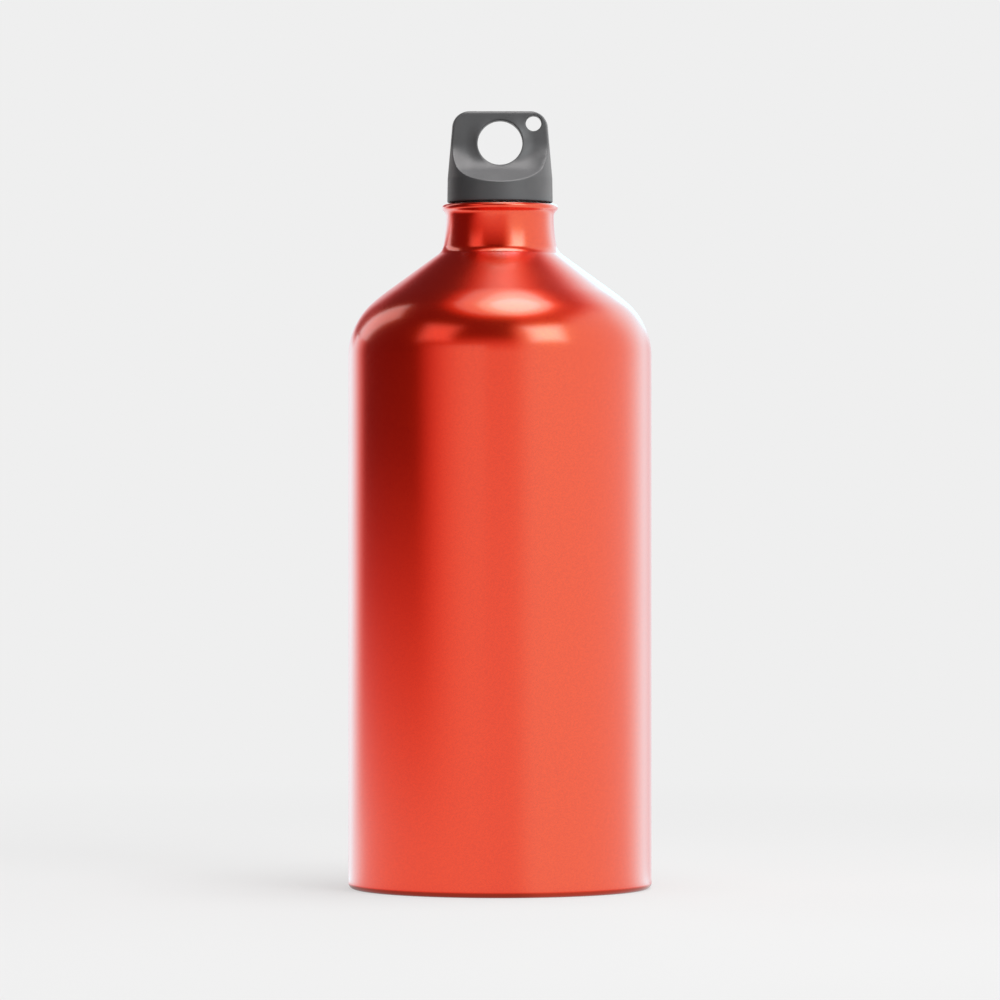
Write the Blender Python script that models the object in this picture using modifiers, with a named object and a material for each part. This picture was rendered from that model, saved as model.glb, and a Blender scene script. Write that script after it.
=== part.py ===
"""Aluminium drinking bottle with an inside thread and a screw cap that ends in a carry loop.

It stands on z = 0 with its axis on Z and its cap screwed down. The carry loop faces along Y. Metres.
"""

import math

import bmesh
import bpy

# Bottle: one extruded shell, necked in at the top and rolled over at the lip
BODY_RADIUS = 0.0405
SIDE_HEIGHT = 0.1428
SHOULDER_RADIUS = 0.0187
SHOULDER_SLOPE = math.radians(36.0)
NECK_RADIUS = 0.0144
NECK_FILLET = 0.0060
NECK_LENGTH = 0.0057
LIP_OVERHANG = 0.0011
LIP_FILLET = 0.0012
WALL = 0.0008
BASE_WALL = 0.0012
FOOT_EDGE_RADIUS = 0.0015
FOOT_WIDTH = 0.0028
FOOT_INNER_RADIUS = 0.0030
DOME_RISE = 0.0060
INNER_CORNER_RADIUS = 0.0022

# Gap between pieces that touch on the real bottle, and between the cap and the lip
FIT_GAP = 0.0003
CAP_GAP = 0.0003

# Plug: threaded cup in the mouth, hung from a flange that is held up inside the cap
PLUG_DEPTH = 0.0150
PLUG_WALL = 0.0015
PLUG_FLOOR = 0.0016
PLUG_LEAD = 0.0010
FLANGE_THICKNESS = 0.0016

# Seal: ring of round section that sits round the plug, under its flange
SEAL_SECTION_RADIUS = 0.0010

# Threaded ring pressed into the neck, with a bevel for the seal
RING_WALL = 0.0021
RING_LENGTH = 0.0120
RING_LAND = 0.0004
RING_LEAD = 0.0006

# Cap: a round skirt, hollow below, that a scoop on each side draws in to a flat carry loop
CAP_STEP = 0.0003
CAP_HEIGHT = 0.02435
SKIRT_HEIGHT = 0.0064
SKIRT_DRAFT = 0.0001
SKIRT_WALL = 0.0015
SKIRT_EDGE_RADIUS = 0.0004
LOOP_TAPER = math.radians(5.0)
LOOP_CORNER_RADIUS = 0.0044
LOOP_THICKNESS = 0.0058
SCOOP_RADIUS = 0.0094
SCOOP_CENTRE_HEIGHT = 0.0165
SCOOP_SLOPE = math.radians(27.5)
HOLE_RADIUS = 0.0060
HOLE_HEIGHT = 0.0159
SWELL_HEIGHT = 0.0005
SWELL_WIDTH = 0.0034
CORNER_HOLE_RADIUS = 0.0021
CORNER_HOLE_ANGLE = math.radians(65.0)
CORNER_WEB = 0.0010
WELD_LEDGE = 0.0007
CEILING_WALL = 0.0016
CORE_RADIUS = 0.0050
EDGE_ROUND = 0.0009
EDGE_BLEND = 0.0016

# Facets of the turned pieces: all round, then of each arc in the bottle's profile
TURN_STEPS = 64
SEAL_STEPS = 8
DOME_STEPS = 5
FOOT_STEPS = 2
FOOT_EDGE_STEPS = 3
SHOULDER_STEPS = 8
SHOULDER_INNER_STEPS = 4
NECK_STEPS = 5
NECK_INNER_STEPS = 3
ROLL_STEPS = 7
TUCK_STEPS = 3

# Facets of the cap: round a quarter, gathered at the scoop's edge, then up its height
HOLE_STEPS = 32
SIDE_STEPS = 9
FACE_STEPS = 9
GATHER = 1.4
EDGE_ANGLE_LIMIT = math.radians(84.0)
RAMP_STEPS = 11
FILLET_STEPS = 5
LOOP_STEPS = 4
CORNER_STEPS = 8
SHARP_FROM = math.radians(35.0)

# How far cutters reach past what they cut, and how near two points count as one
CUT_MARGIN = 0.0020
SAME_POINT = 0.00001


def arc(centre, radius, start, end, steps):
    """Points on a circle in the profile plane, from one angle to another."""
    points = []
    for i in range(steps + 1):
        angle = start + (end - start) * i / steps
        points.append((centre[0] + radius * math.cos(angle), centre[1] + radius * math.sin(angle)))
    return points


def joined(*runs):
    """Runs of points made one line, with the point that two runs share kept once."""
    line = list(runs[0])
    for run in runs[1:]:
        line += run[1:] if math.dist(line[-1], run[0]) < SAME_POINT else run
    return line


def steps_between(low, high, steps):
    return [low + (high - low) * i / steps for i in range(steps + 1)]


def arc_heights(low, rise, steps):
    """Heights up a quarter arc that ends level, closer together towards its top."""
    return [low + rise * math.sin(math.pi / 2 * i / steps) for i in range(steps + 1)]


def rising(*runs):
    """Runs of heights made one rising run, with heights that nearly repeat kept once."""
    line = []
    for height in sorted(sum(runs, [])):
        if not line or height - line[-1] > SAME_POINT:
            line.append(height)
    return line


def neck_foot_centre():
    """Centre of the fillet at the neck's foot, set so that the cone touches both arcs."""
    lean = math.pi / 2 - SHOULDER_SLOPE
    cone_foot_r = BODY_RADIUS - SHOULDER_RADIUS * (1 - math.cos(lean))
    cone_foot_z = SIDE_HEIGHT + SHOULDER_RADIUS * math.sin(lean)
    centre_r = NECK_RADIUS + NECK_FILLET
    cone_top_r = centre_r - NECK_FILLET * math.cos(lean)
    cone_top_z = cone_foot_z + (cone_foot_r - cone_top_r) * math.tan(SHOULDER_SLOPE)
    return centre_r, cone_top_z + NECK_FILLET * math.sin(lean)


# Places that follow from the sizes
NECK_FOOT = neck_foot_centre()
NECK_INNER = NECK_RADIUS - WALL
ROLL_RADIUS = (WALL + LIP_OVERHANG) / 2
TUCK_REACH = ROLL_RADIUS + LIP_FILLET
TUCK_ANGLE = math.acos((NECK_RADIUS + LIP_FILLET - NECK_INNER - ROLL_RADIUS) / TUCK_REACH)
NECK_TOP = NECK_FOOT[1] + NECK_LENGTH
ROLL_HEIGHT = NECK_TOP + TUCK_REACH * math.sin(TUCK_ANGLE)
LIP_TOP = ROLL_HEIGHT + ROLL_RADIUS
CAP_SEAT = LIP_TOP + CAP_GAP
FOOT_INNER_EDGE = BODY_RADIUS - FOOT_EDGE_RADIUS - FOOT_WIDTH
DOME_ANGLE = 2 * math.atan(DOME_RISE / FOOT_INNER_EDGE)
DOME_RADIUS = FOOT_INNER_EDGE / math.sin(DOME_ANGLE) - FOOT_INNER_RADIUS
RING_RADIUS = NECK_INNER - FIT_GAP
RING_BORE = RING_RADIUS - RING_WALL
RING_BEVEL_TOP = RING_RADIUS - RING_LAND
PLUG_RADIUS = RING_BORE - FIT_GAP
SEAL_RADIUS = PLUG_RADIUS + FIT_GAP + SEAL_SECTION_RADIUS
SEAL_HEIGHT = CAP_SEAT - FIT_GAP - SEAL_SECTION_RADIUS
RING_TOP = SEAL_HEIGHT + RING_BEVEL_TOP - SEAL_RADIUS - math.sqrt(2) * (SEAL_SECTION_RADIUS + FIT_GAP)
CAP_RADIUS = NECK_RADIUS - CAP_STEP
CAVITY_RADIUS = CAP_RADIUS - SKIRT_WALL
SKIRT_TOP_RADIUS = CAP_RADIUS - SKIRT_DRAFT
CORNER_HEIGHT = CAP_HEIGHT - LOOP_CORNER_RADIUS
CORNER_INSET = LOOP_CORNER_RADIUS + (CORNER_HEIGHT - SKIRT_HEIGHT) * math.sin(LOOP_TAPER)
CORNER_OUT = SKIRT_TOP_RADIUS - CORNER_INSET / math.cos(LOOP_TAPER)
SCOOP_CENTRE_HALF = LOOP_THICKNESS / 2 + SCOOP_RADIUS
RAMP_TOP_HALF = SCOOP_CENTRE_HALF - SCOOP_RADIUS * math.sin(SCOOP_SLOPE)
RAMP_TOP = SCOOP_CENTRE_HEIGHT - SCOOP_RADIUS * math.cos(SCOOP_SLOPE)


def new_collection(name):
    group = bpy.data.collections.new(name)
    bpy.context.scene.collection.children.link(group)
    return group


def new_material(name, colour, metallic, roughness):
    material = bpy.data.materials.new(name)
    material.use_nodes = True
    shader = material.node_tree.nodes["Principled BSDF"]
    shader.inputs["Base Color"].default_value = (*colour, 1.0)
    shader.inputs["Metallic"].default_value = metallic
    shader.inputs["Roughness"].default_value = roughness
    return material


def new_object(name, mesh, group, parent=None, material=None):
    """A mesh as an object. One with no material is a cutter, which doesn't render."""
    thing = bpy.data.objects.new(name, mesh)
    thing.parent = parent
    group.objects.link(thing)
    if material:
        mesh.materials.append(material)
    else:
        thing.hide_render = True
        thing.display_type = "WIRE"
    return thing


def turned(name, profile, group, parent=None, material=None, closed=True):
    """Turns a profile of (radius, height) points, which runs down its outer side, round Z."""
    mesh = bpy.data.meshes.new(name)
    edges = [(i, i + 1) for i in range(len(profile) - 1)]
    if closed:
        edges.append((len(profile) - 1, 0))
    mesh.from_pydata([(r, 0.0, z) for r, z in profile], edges, [])
    thing = new_object(name, mesh, group, parent, material)
    turn = thing.modifiers.new("Turn", "SCREW")
    turn.axis = "Z"
    turn.angle = math.tau
    turn.steps = TURN_STEPS
    turn.render_steps = TURN_STEPS
    turn.use_merge_vertices = True
    turn.merge_threshold = SAME_POINT
    turn.use_smooth_shade = True
    return thing


def drill(name, radius, x, height, group, parent):
    """A cylinder along Y, as a cutter."""
    shape = bmesh.new()
    bmesh.ops.create_cone(
        shape,
        cap_ends=True,
        segments=HOLE_STEPS,
        radius1=radius,
        radius2=radius,
        depth=2 * (CAP_RADIUS + CUT_MARGIN),
    )
    mesh = bpy.data.meshes.new(name)
    shape.to_mesh(mesh)
    shape.free()
    tool = new_object(name, mesh, group, parent)
    tool.location = (x, 0.0, height)
    tool.rotation_euler.x = math.pi / 2
    return tool


def cut(thing, cutter):
    step = thing.modifiers.new(cutter.name, "BOOLEAN")
    step.operation = "DIFFERENCE"
    step.solver = "EXACT"
    step.object = cutter


def shoulder_line(inset, steps_over, steps_foot):
    """The line from the side over the shoulder and up into the neck, this far inside the metal."""
    lean = math.pi / 2 - SHOULDER_SLOPE
    over_centre = (BODY_RADIUS - SHOULDER_RADIUS, SIDE_HEIGHT)
    over = arc(over_centre, SHOULDER_RADIUS - inset, 0.0, lean, steps_over)
    foot = arc(NECK_FOOT, NECK_FILLET + inset, math.pi + lean, math.pi, steps_foot)
    return over + foot


def bottle_profile():
    """Up the inside from the middle of the base, over the rolled lip and down the outside."""
    quarter = math.pi / 2
    dome_centre = (0.0, DOME_RISE - DOME_RADIUS)
    foot_centre = (FOOT_INNER_EDGE, FOOT_INNER_RADIUS)
    edge_centre = (BODY_RADIUS - FOOT_EDGE_RADIUS, FOOT_EDGE_RADIUS)
    corner_centre = (BODY_RADIUS - WALL - INNER_CORNER_RADIUS, BASE_WALL + INNER_CORNER_RADIUS)
    roll_centre = (NECK_INNER + ROLL_RADIUS, ROLL_HEIGHT)
    tuck_centre = (NECK_RADIUS + LIP_FILLET, NECK_TOP)

    foot_end = 3 * quarter - DOME_ANGLE
    inside = joined(
        arc(dome_centre, DOME_RADIUS + BASE_WALL, quarter, quarter - DOME_ANGLE, DOME_STEPS),
        arc(foot_centre, FOOT_INNER_RADIUS - BASE_WALL, foot_end, 3 * quarter, FOOT_STEPS),
        arc(corner_centre, INNER_CORNER_RADIUS, 3 * quarter, 4 * quarter, FOOT_STEPS),
        shoulder_line(WALL, SHOULDER_INNER_STEPS, NECK_INNER_STEPS),
    )
    lip = joined(
        arc(roll_centre, ROLL_RADIUS, math.pi, -TUCK_ANGLE, ROLL_STEPS),
        arc(tuck_centre, LIP_FILLET, math.pi - TUCK_ANGLE, math.pi, TUCK_STEPS),
    )
    outside = joined(
        shoulder_line(0.0, SHOULDER_STEPS, NECK_STEPS)[::-1],
        arc(edge_centre, FOOT_EDGE_RADIUS, 0.0, -quarter, FOOT_EDGE_STEPS),
        arc(foot_centre, FOOT_INNER_RADIUS, 3 * quarter, foot_end, FOOT_STEPS),
        arc(dome_centre, DOME_RADIUS, quarter - DOME_ANGLE, quarter, DOME_STEPS),
    )
    return joined(inside, lip, outside)


def ring_profile():
    """The threaded ring: flat land on top, bevel for the seal, bore, and a lead at the bottom."""
    bottom = RING_TOP - RING_LENGTH
    return [
        (RING_BEVEL_TOP, RING_TOP),
        (RING_RADIUS, RING_TOP),
        (RING_RADIUS, bottom + RING_LEAD),
        (RING_RADIUS - RING_LEAD, bottom),
        (RING_BORE, bottom),
        (RING_BORE, RING_TOP - (RING_BEVEL_TOP - RING_BORE)),
    ]


def plug_profile():
    """The plug: up inside the cup from its floor, over the flange and down the threaded wall."""
    inner = PLUG_RADIUS - PLUG_WALL
    flange = CAVITY_RADIUS - FIT_GAP
    floor = PLUG_FLOOR - PLUG_DEPTH
    return [
        (0.0, floor),
        (inner - PLUG_LEAD, floor),
        (inner, floor + PLUG_LEAD),
        (inner, FLANGE_THICKNESS),
        (flange, FLANGE_THICKNESS),
        (flange, 0.0),
        (PLUG_RADIUS, 0.0),
        (PLUG_RADIUS, PLUG_LEAD - PLUG_DEPTH),
        (PLUG_RADIUS - PLUG_LEAD, -PLUG_DEPTH),
        (0.0, -PLUG_DEPTH),
    ]


def cap_radius(z):
    """Radius of the cap's round outline at a height, with the loop's rounded corners at the top."""
    if z < SKIRT_EDGE_RADIUS:
        rise = SKIRT_EDGE_RADIUS - z
        return CAP_RADIUS - SKIRT_EDGE_RADIUS + math.sqrt(SKIRT_EDGE_RADIUS**2 - rise**2)
    if z < SKIRT_HEIGHT:
        return CAP_RADIUS - SKIRT_DRAFT * z / SKIRT_HEIGHT
    if z < CORNER_HEIGHT + LOOP_CORNER_RADIUS * math.sin(LOOP_TAPER):
        return SKIRT_TOP_RADIUS - (z - SKIRT_HEIGHT) * math.tan(LOOP_TAPER)
    rise = min(z - CORNER_HEIGHT, LOOP_CORNER_RADIUS)
    return CORNER_OUT + math.sqrt(LOOP_CORNER_RADIUS**2 - rise**2)


def half_thickness(x, z):
    """Distance from the middle plane to the scooped face: ramp, fillet, flat loop, rounded top."""
    if z < RAMP_TOP:
        half = RAMP_TOP_HALF + (RAMP_TOP - z) / math.tan(SCOOP_SLOPE)
    elif z < SCOOP_CENTRE_HEIGHT:
        half = SCOOP_CENTRE_HALF - math.sqrt(SCOOP_RADIUS**2 - (SCOOP_CENTRE_HEIGHT - z) ** 2)
    else:
        half = LOOP_THICKNESS / 2
    rise = z - (CAP_HEIGHT - EDGE_ROUND)
    if rise > 0.0:
        half -= EDGE_ROUND - math.sqrt(max(EDGE_ROUND**2 - rise**2, 0.0))
    away = (math.hypot(x, z - HOLE_HEIGHT) - HOLE_RADIUS) / SWELL_WIDTH
    return half + SWELL_HEIGHT * (1.0 - min(max(away, 0.0), 1.0)) ** 2


def smooth_min(a, b, blend):
    """The smaller of two distances, rounded where they are within the blend of each other."""
    share = max(blend - abs(a - b), 0.0) / blend
    return min(a, b) - share * share * blend / 4


def section_angles(z):
    """Angles of a section's points, gathered where the scoop meets the round side."""
    radius = cap_radius(z)
    edge = math.asin(min(half_thickness(CAP_RADIUS, z) / radius, math.sin(EDGE_ANGLE_LIMIT)))
    quarter = [edge * (1.0 - (1.0 - i / SIDE_STEPS) ** GATHER) for i in range(SIDE_STEPS)]
    for i in range(FACE_STEPS):
        along = radius * math.cos(edge) * (1.0 - (i / FACE_STEPS) ** GATHER)
        quarter.append(math.atan2(radius * math.sin(edge), along))
    half = quarter + [math.pi / 2] + [math.pi - angle for angle in quarter[:0:-1]]
    return half + [math.pi + angle for angle in half]


def outer_section(z):
    """One closed section of the cap: a circle cut by the two scoops, its edges rounded."""
    points = []
    for angle in section_angles(z):
        across = max(abs(math.sin(angle)), SAME_POINT)
        out = min(cap_radius(z), half_thickness(0.0, z) / across)
        face = half_thickness(out * math.cos(angle), z) / across
        reach = smooth_min(cap_radius(z), face, EDGE_BLEND)
        points.append((reach * math.cos(angle), reach * math.sin(angle), z))
    return points


def inner_section(radius, z):
    return [(radius * math.cos(angle), radius * math.sin(angle), z) for angle in section_angles(0.0)]


def outer_heights():
    """Heights of the sections: the skirt's edge, the ramps, the fillets, the loop and its corners."""
    ramp_foot = RAMP_TOP - (CAP_RADIUS + EDGE_BLEND - RAMP_TOP_HALF) * math.tan(SCOOP_SLOPE)
    return rising(
        [SKIRT_EDGE_RADIUS - rise for rise in arc_heights(0.0, SKIRT_EDGE_RADIUS, FOOT_STEPS)],
        steps_between(max(ramp_foot, SKIRT_EDGE_RADIUS), RAMP_TOP, RAMP_STEPS),
        steps_between(RAMP_TOP, SCOOP_CENTRE_HEIGHT, FILLET_STEPS),
        steps_between(SCOOP_CENTRE_HEIGHT, CORNER_HEIGHT, LOOP_STEPS),
        arc_heights(CORNER_HEIGHT, LOOP_CORNER_RADIUS, CORNER_STEPS),
    )


def cavity_sections():
    """The hollow from the mouth up: flange seat, weld ledge, wall, and a ceiling under the ramps."""
    wall = CAVITY_RADIUS - WELD_LEDGE
    ledge = FLANGE_THICKNESS + FIT_GAP
    ceiling = RAMP_TOP - CEILING_WALL / math.cos(SCOOP_SLOPE)
    wall_z = ceiling - (wall - RAMP_TOP_HALF) * math.tan(SCOOP_SLOPE)
    core_z = ceiling + (RAMP_TOP_HALF - CORE_RADIUS) * math.tan(SCOOP_SLOPE)
    profile = [
        (CAVITY_RADIUS, 0.0),
        (CAVITY_RADIUS, ledge),
        (wall, ledge),
        (wall, wall_z),
        (CORE_RADIUS, min(core_z, HOLE_HEIGHT - HOLE_RADIUS - CEILING_WALL)),
    ]
    return [inner_section(r, z) for r, z in profile]


def loft(name, sections, group, parent, material):
    """Skins closed sections in order and fills the first and last."""
    shape = bmesh.new()
    rings = [[shape.verts.new(point) for point in section] for section in sections]
    for low, high in zip(rings, rings[1:]):
        for i in range(len(low)):
            j = (i + 1) % len(low)
            shape.faces.new((low[i], low[j], high[j], high[i]))
    shape.faces.new(rings[0])
    shape.faces.new(rings[-1])
    bmesh.ops.recalc_face_normals(shape, faces=shape.faces)
    mesh = bpy.data.meshes.new(name)
    shape.to_mesh(mesh)
    shape.free()
    mesh.shade_smooth()
    mesh.set_sharp_from_angle(angle=SHARP_FROM)
    return new_object(name, mesh, group, parent, material)


def make_cap(group, cutters, seat, material):
    outside = [outer_section(z) for z in reversed(outer_heights())]
    shell = loft("cap_shell", outside + cavity_sections(), group, seat, material)
    cut(shell, drill("loop_hole", HOLE_RADIUS, 0.0, HOLE_HEIGHT, cutters, seat))
    reach = LOOP_CORNER_RADIUS - CORNER_WEB - CORNER_HOLE_RADIUS
    hole_x = CORNER_OUT + reach * math.cos(CORNER_HOLE_ANGLE)
    hole_z = CORNER_HEIGHT + reach * math.sin(CORNER_HOLE_ANGLE)
    cut(shell, drill("corner_hole", CORNER_HOLE_RADIUS, hole_x, hole_z, cutters, seat))


def make_seal(group, material):
    bpy.ops.mesh.primitive_torus_add(
        major_segments=TURN_STEPS,
        minor_segments=SEAL_STEPS,
        major_radius=SEAL_RADIUS,
        minor_radius=SEAL_SECTION_RADIUS,
        location=(0.0, 0.0, SEAL_HEIGHT),
    )
    seal = bpy.context.object
    seal.name = "seal_ring"
    seal.data.materials.append(material)
    seal.data.shade_smooth()
    for other in list(seal.users_collection):
        other.objects.unlink(seal)
    group.objects.link(seal)


def main():
    for thing in list(bpy.data.objects):
        bpy.data.objects.remove(thing, do_unlink=True)
    bottle = new_collection("aluminium_bottle")
    cutters = new_collection("cutters")
    red_lacquer = new_material("red_lacquered_aluminium", (0.62, 0.05, 0.03), 0.9, 0.35)
    bare_metal = new_material("bare_aluminium", (0.78, 0.78, 0.80), 1.0, 0.4)
    silicone = new_material("grey_silicone", (0.35, 0.35, 0.36), 0.0, 0.6)
    pale_plastic = new_material("pale_polypropylene", (0.55, 0.55, 0.54), 0.0, 0.45)
    grey_plastic = new_material("grey_polypropylene", (0.07, 0.07, 0.075), 0.0, 0.5)

    seat = bpy.data.objects.new("cap_seat", None)
    seat.location.z = CAP_SEAT
    bottle.objects.link(seat)

    turned("bottle_body", bottle_profile(), bottle, None, red_lacquer, closed=False)
    turned("neck_thread_ring", ring_profile(), bottle, None, bare_metal)
    make_seal(bottle, silicone)
    turned("thread_plug", plug_profile(), bottle, seat, pale_plastic, closed=False)
    make_cap(bottle, cutters, seat, grey_plastic)


main()
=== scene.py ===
# %% [markdown]
# # An aluminium drinking bottle with a screw cap
#
# The bottle is a thin metal shell that was pressed from one slug of aluminium, drawn in at the neck, rolled
# over at the lip and sprayed with a satin metallic red lacquer. A ring with a thread sits inside the neck,
# and a moulded cap with a carry loop screws into it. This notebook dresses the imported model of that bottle:
# it makes a fine mesh for each piece, gives each its real finish, and lights it as in a plain product
# photograph.

import bmesh
import bpy
import math
import numpy as np
from collections import namedtuple
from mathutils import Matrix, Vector
from mathutils.geometry import delaunay_2d_cdt


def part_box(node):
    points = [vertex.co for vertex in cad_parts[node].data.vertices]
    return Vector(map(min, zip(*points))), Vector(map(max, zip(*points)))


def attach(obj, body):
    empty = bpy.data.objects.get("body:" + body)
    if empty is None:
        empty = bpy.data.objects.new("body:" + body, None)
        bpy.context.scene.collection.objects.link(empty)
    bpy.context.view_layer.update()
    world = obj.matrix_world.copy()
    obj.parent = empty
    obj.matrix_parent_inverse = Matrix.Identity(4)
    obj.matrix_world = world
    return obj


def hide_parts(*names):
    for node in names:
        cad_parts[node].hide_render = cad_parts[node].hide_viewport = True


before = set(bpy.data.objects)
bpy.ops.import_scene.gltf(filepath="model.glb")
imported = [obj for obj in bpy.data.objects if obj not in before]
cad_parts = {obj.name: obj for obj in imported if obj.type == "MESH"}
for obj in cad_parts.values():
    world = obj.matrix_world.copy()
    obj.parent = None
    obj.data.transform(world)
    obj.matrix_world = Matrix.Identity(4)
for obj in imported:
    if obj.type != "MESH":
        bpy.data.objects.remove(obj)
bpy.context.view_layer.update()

# %% [markdown]
# ## Small helpers
#
# Lengths are easiest to read in millimetres, so one factor turns them to Blender's metres. Colours are
# written as the hex codes that a paint chart would give, and one function turns them to the linear values
# that shaders work in. A node tree is a list of nodes with settings and links, so one function adds a node
# with both. A whole node may be given as an input too, and then its first output is linked.

# %% Units, colours and nodes
MM = 0.001
MATH = "ShaderNodeMath"
MIX = "ShaderNodeMix"
MAP = "ShaderNodeMapRange"
SPLIT = "ShaderNodeSeparateXYZ"


def linear(hex_code):
    """A colour such as "#C82010" as linear red, green, blue and a full alpha."""
    parts = [int(hex_code[i : i + 2], 16) / 255 for i in (1, 3, 5)]
    return (*[c / 12.92 if c <= 0.04045 else ((c + 0.055) / 1.055) ** 2.4 for c in parts], 1.0)


def add(tree, kind, links=(), **settings):
    """Adds a node. links are its inputs in order, or by name or number: values, sockets or nodes."""
    node = tree.nodes.new(kind)
    for key, value in settings.items():
        setattr(node, key, value)
    for key, value in (links if isinstance(links, dict) else dict(enumerate(links))).items():
        source = value.outputs[0] if isinstance(value, bpy.types.Node) else value
        if isinstance(source, bpy.types.NodeSocket):
            tree.links.new(source, node.inputs[key])
        else:
            node.inputs[key].default_value = source
    return node


def new_material(name):
    """An empty material: its node tree, and the material itself."""
    material = bpy.data.materials.new(name)
    material.use_nodes = True
    material.node_tree.nodes.clear()
    return material.node_tree, material


def placed(name, data):
    """A new object in the scene."""
    made = bpy.data.objects.new(name, data)
    bpy.context.scene.collection.objects.link(made)
    return made


def sheet(name, points, faces, material):
    """A new object with a plain mesh of one material."""
    mesh = bpy.data.meshes.new(name)
    mesh.from_pydata(points, [], faces)
    mesh.materials.append(material)
    return placed(name, mesh)


print("White paint is", linear("#FFFFFF"), "and middle grey", [round(v, 3) for v in linear("#808080")])

# %% [markdown]
# ## The camera
#
# The photograph was taken level, from about a metre and a half, at half the bottle's height. A long lens
# keeps the bottle's sides straight. The bottle's base is at the lower edge of the picture's middle part,
# which gives the eye level and the distance.

# %% Camera
EYE_HEIGHT = 103.72 * MM
CAMERA_DISTANCE = 1515.8 * MM
LENS_MM = 204.1
SENSOR_MM = 36.0

camera_data = bpy.data.cameras.new("camera")
camera_data.lens = LENS_MM
camera_data.sensor_width = SENSOR_MM
camera = placed("camera", camera_data)
camera.location = (0.0, -CAMERA_DISTANCE, EYE_HEIGHT)
camera.rotation_euler = (math.pi / 2, 0.0, 0.0)
bpy.context.scene.camera = camera
bpy.context.scene.view_settings.view_transform = "Standard"
print("The view is", round(CAMERA_DISTANCE * SENSOR_MM / LENS_MM / MM, 1), "mm wide at the bottle's axis")

# %% [markdown]
# ## The studio
#
# A satin metal bottle shows its surroundings more than its own colour, so the surroundings are made first.
# The room is given by sectors round the bottle. Each row has the two azimuths between which the sector takes
# over from the ones before it. Then come its brightness at table height, the two height angles over which
# that changes to its middle brightness, the two over which this changes to its high one, each with its
# value. Angles are in degrees, and 1 is a white card. The camera doesn't see the room, only a plain pale
# backdrop.

# %% The room by sectors
BACKDROP = 0.863
FRONT = (1.05, -10.0, 29.0, 0.045, 60.0, 70.0, 0.040)
SECTORS = (
    ("right wall", 8.0, 27.0, 1.50, -1.0, 1.0, 1.50, 38.0, 50.0, 0.22),
    ("right side", 60.0, 82.0, 1.50, -1.0, 1.0, 1.50, 42.0, 56.0, 0.24),
    ("right back", 104.0, 130.0, 2.00, -1.0, 1.0, 2.00, 30.0, 57.0, 0.15),
    ("back", 136.0, 158.0, 0.88, 3.0, 13.0, 1.65, 33.0, 53.0, 0.10),
    ("middle back", 158.0, 172.0, 0.88, 3.0, 12.0, 2.80, 34.0, 50.0, 0.10),
    ("dark left", -12.0, -76.0, 1.0, -1.5, 1.5, 0.036, 60.0, 70.0, 0.032),
    ("left back", -116.0, -140.0, 1.40, 3.0, 10.0, 0.08, 22.0, 34.0, 0.030),
    ("far back", -156.0, -172.0, 0.88, 4.0, 10.0, 0.65, 18.0, 28.0, 0.048),
)


def direction(azimuth, elevation):
    """A unit vector. Azimuth 0 is towards the camera and 90 to the right, in degrees."""
    a, e = math.radians(azimuth), math.radians(elevation)
    return Vector((math.sin(a) * math.cos(e), -math.cos(a) * math.cos(e), math.sin(e)))


def azimuth_of(tree, place):
    """The azimuth of a direction or place, in radians, as in direction()."""
    axes = add(tree, SPLIT, (place,)).outputs
    ahead = add(tree, MATH, (axes["Y"], -1.0), operation="MULTIPLY")
    return add(tree, MATH, (axes["X"], ahead), operation="ARCTAN2")


def take_over(tree, first, second, angle, start, full):
    """Goes softly from one brightness to another as an angle goes from start to full degrees."""
    links = {"Value": angle, "From Min": math.radians(start), "From Max": math.radians(full)}
    share = add(tree, MAP, links, interpolation_type="SMOOTHSTEP")
    return add(tree, MIX, {"Factor": share, "A": first, "B": second})


def by_height(tree, height, low, rise_from, rise_to, middle, end_from, end_to, high):
    """A sector's brightness by height angle, or at table height alone."""
    if height is None:
        return low
    level = take_over(tree, low, middle, height, rise_from, rise_to)
    return take_over(tree, level, high, height, end_from, end_to)


def room_level(tree, azimuth, height=None):
    """The room's brightness by azimuth and height angle, or at table height alone."""
    level = by_height(tree, height, *FRONT)
    for _, start, full, *levels in SECTORS:
        level = take_over(tree, level, by_height(tree, height, *levels), azimuth, start, full)
    return level


print("The room has", len(SECTORS) + 1, "sectors:", "front,", ", ".join(name for name, *_ in SECTORS))

# %% [markdown]
# ## The tone of mirrored light
#
# A camera gives dark tones a fuller colour and bright tones a paler one than Blender's Standard view does.
# On red lacquer this shows as deep red shadows and as highlights that turn pink. So what the lacquer mirrors
# is given a tone: a dark part of the room is a little red, and a bright part a little cool. The grey cap
# must not get that tone, so only mirrored light that came through the clear tent further below gets it.
# Light Path's Transparent Depth tells how many clear surfaces a ray has passed.

# %% The world
RED_LIMIT = 1.1
RED_KNEE = 0.19
BLUE_GAIN = 0.06


def mirrored_colour(tree, ray, level):
    """A brightness as a colour: toned for light that came through the tent, and grey for other light."""
    red = add(tree, MATH, (level, RED_LIMIT), operation="MULTIPLY")
    knee = add(tree, MATH, (level, RED_KNEE), operation="ADD")
    red = add(tree, MATH, (red, knee), operation="DIVIDE")
    blue = add(tree, MATH, (level, BLUE_GAIN, 1.0), operation="MULTIPLY_ADD")
    blue = add(tree, MATH, (level, blue), operation="MULTIPLY")
    toned = add(tree, "ShaderNodeCombineColor", (red, level, blue))
    through_tent = add(tree, MATH, (ray.outputs["Transparent Depth"], 1.0), operation="MINIMUM")
    return add(tree, MIX, {0: through_tent, 6: level, 7: toned}, data_type="RGBA").outputs[2]


def seen_plainly(tree, ray):
    """1 for camera rays and for rays through a clear piece."""
    seen = ray.outputs["Is Camera Ray"], ray.outputs["Is Transmission Ray"]
    return add(tree, MATH, seen, operation="MAXIMUM")


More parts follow.
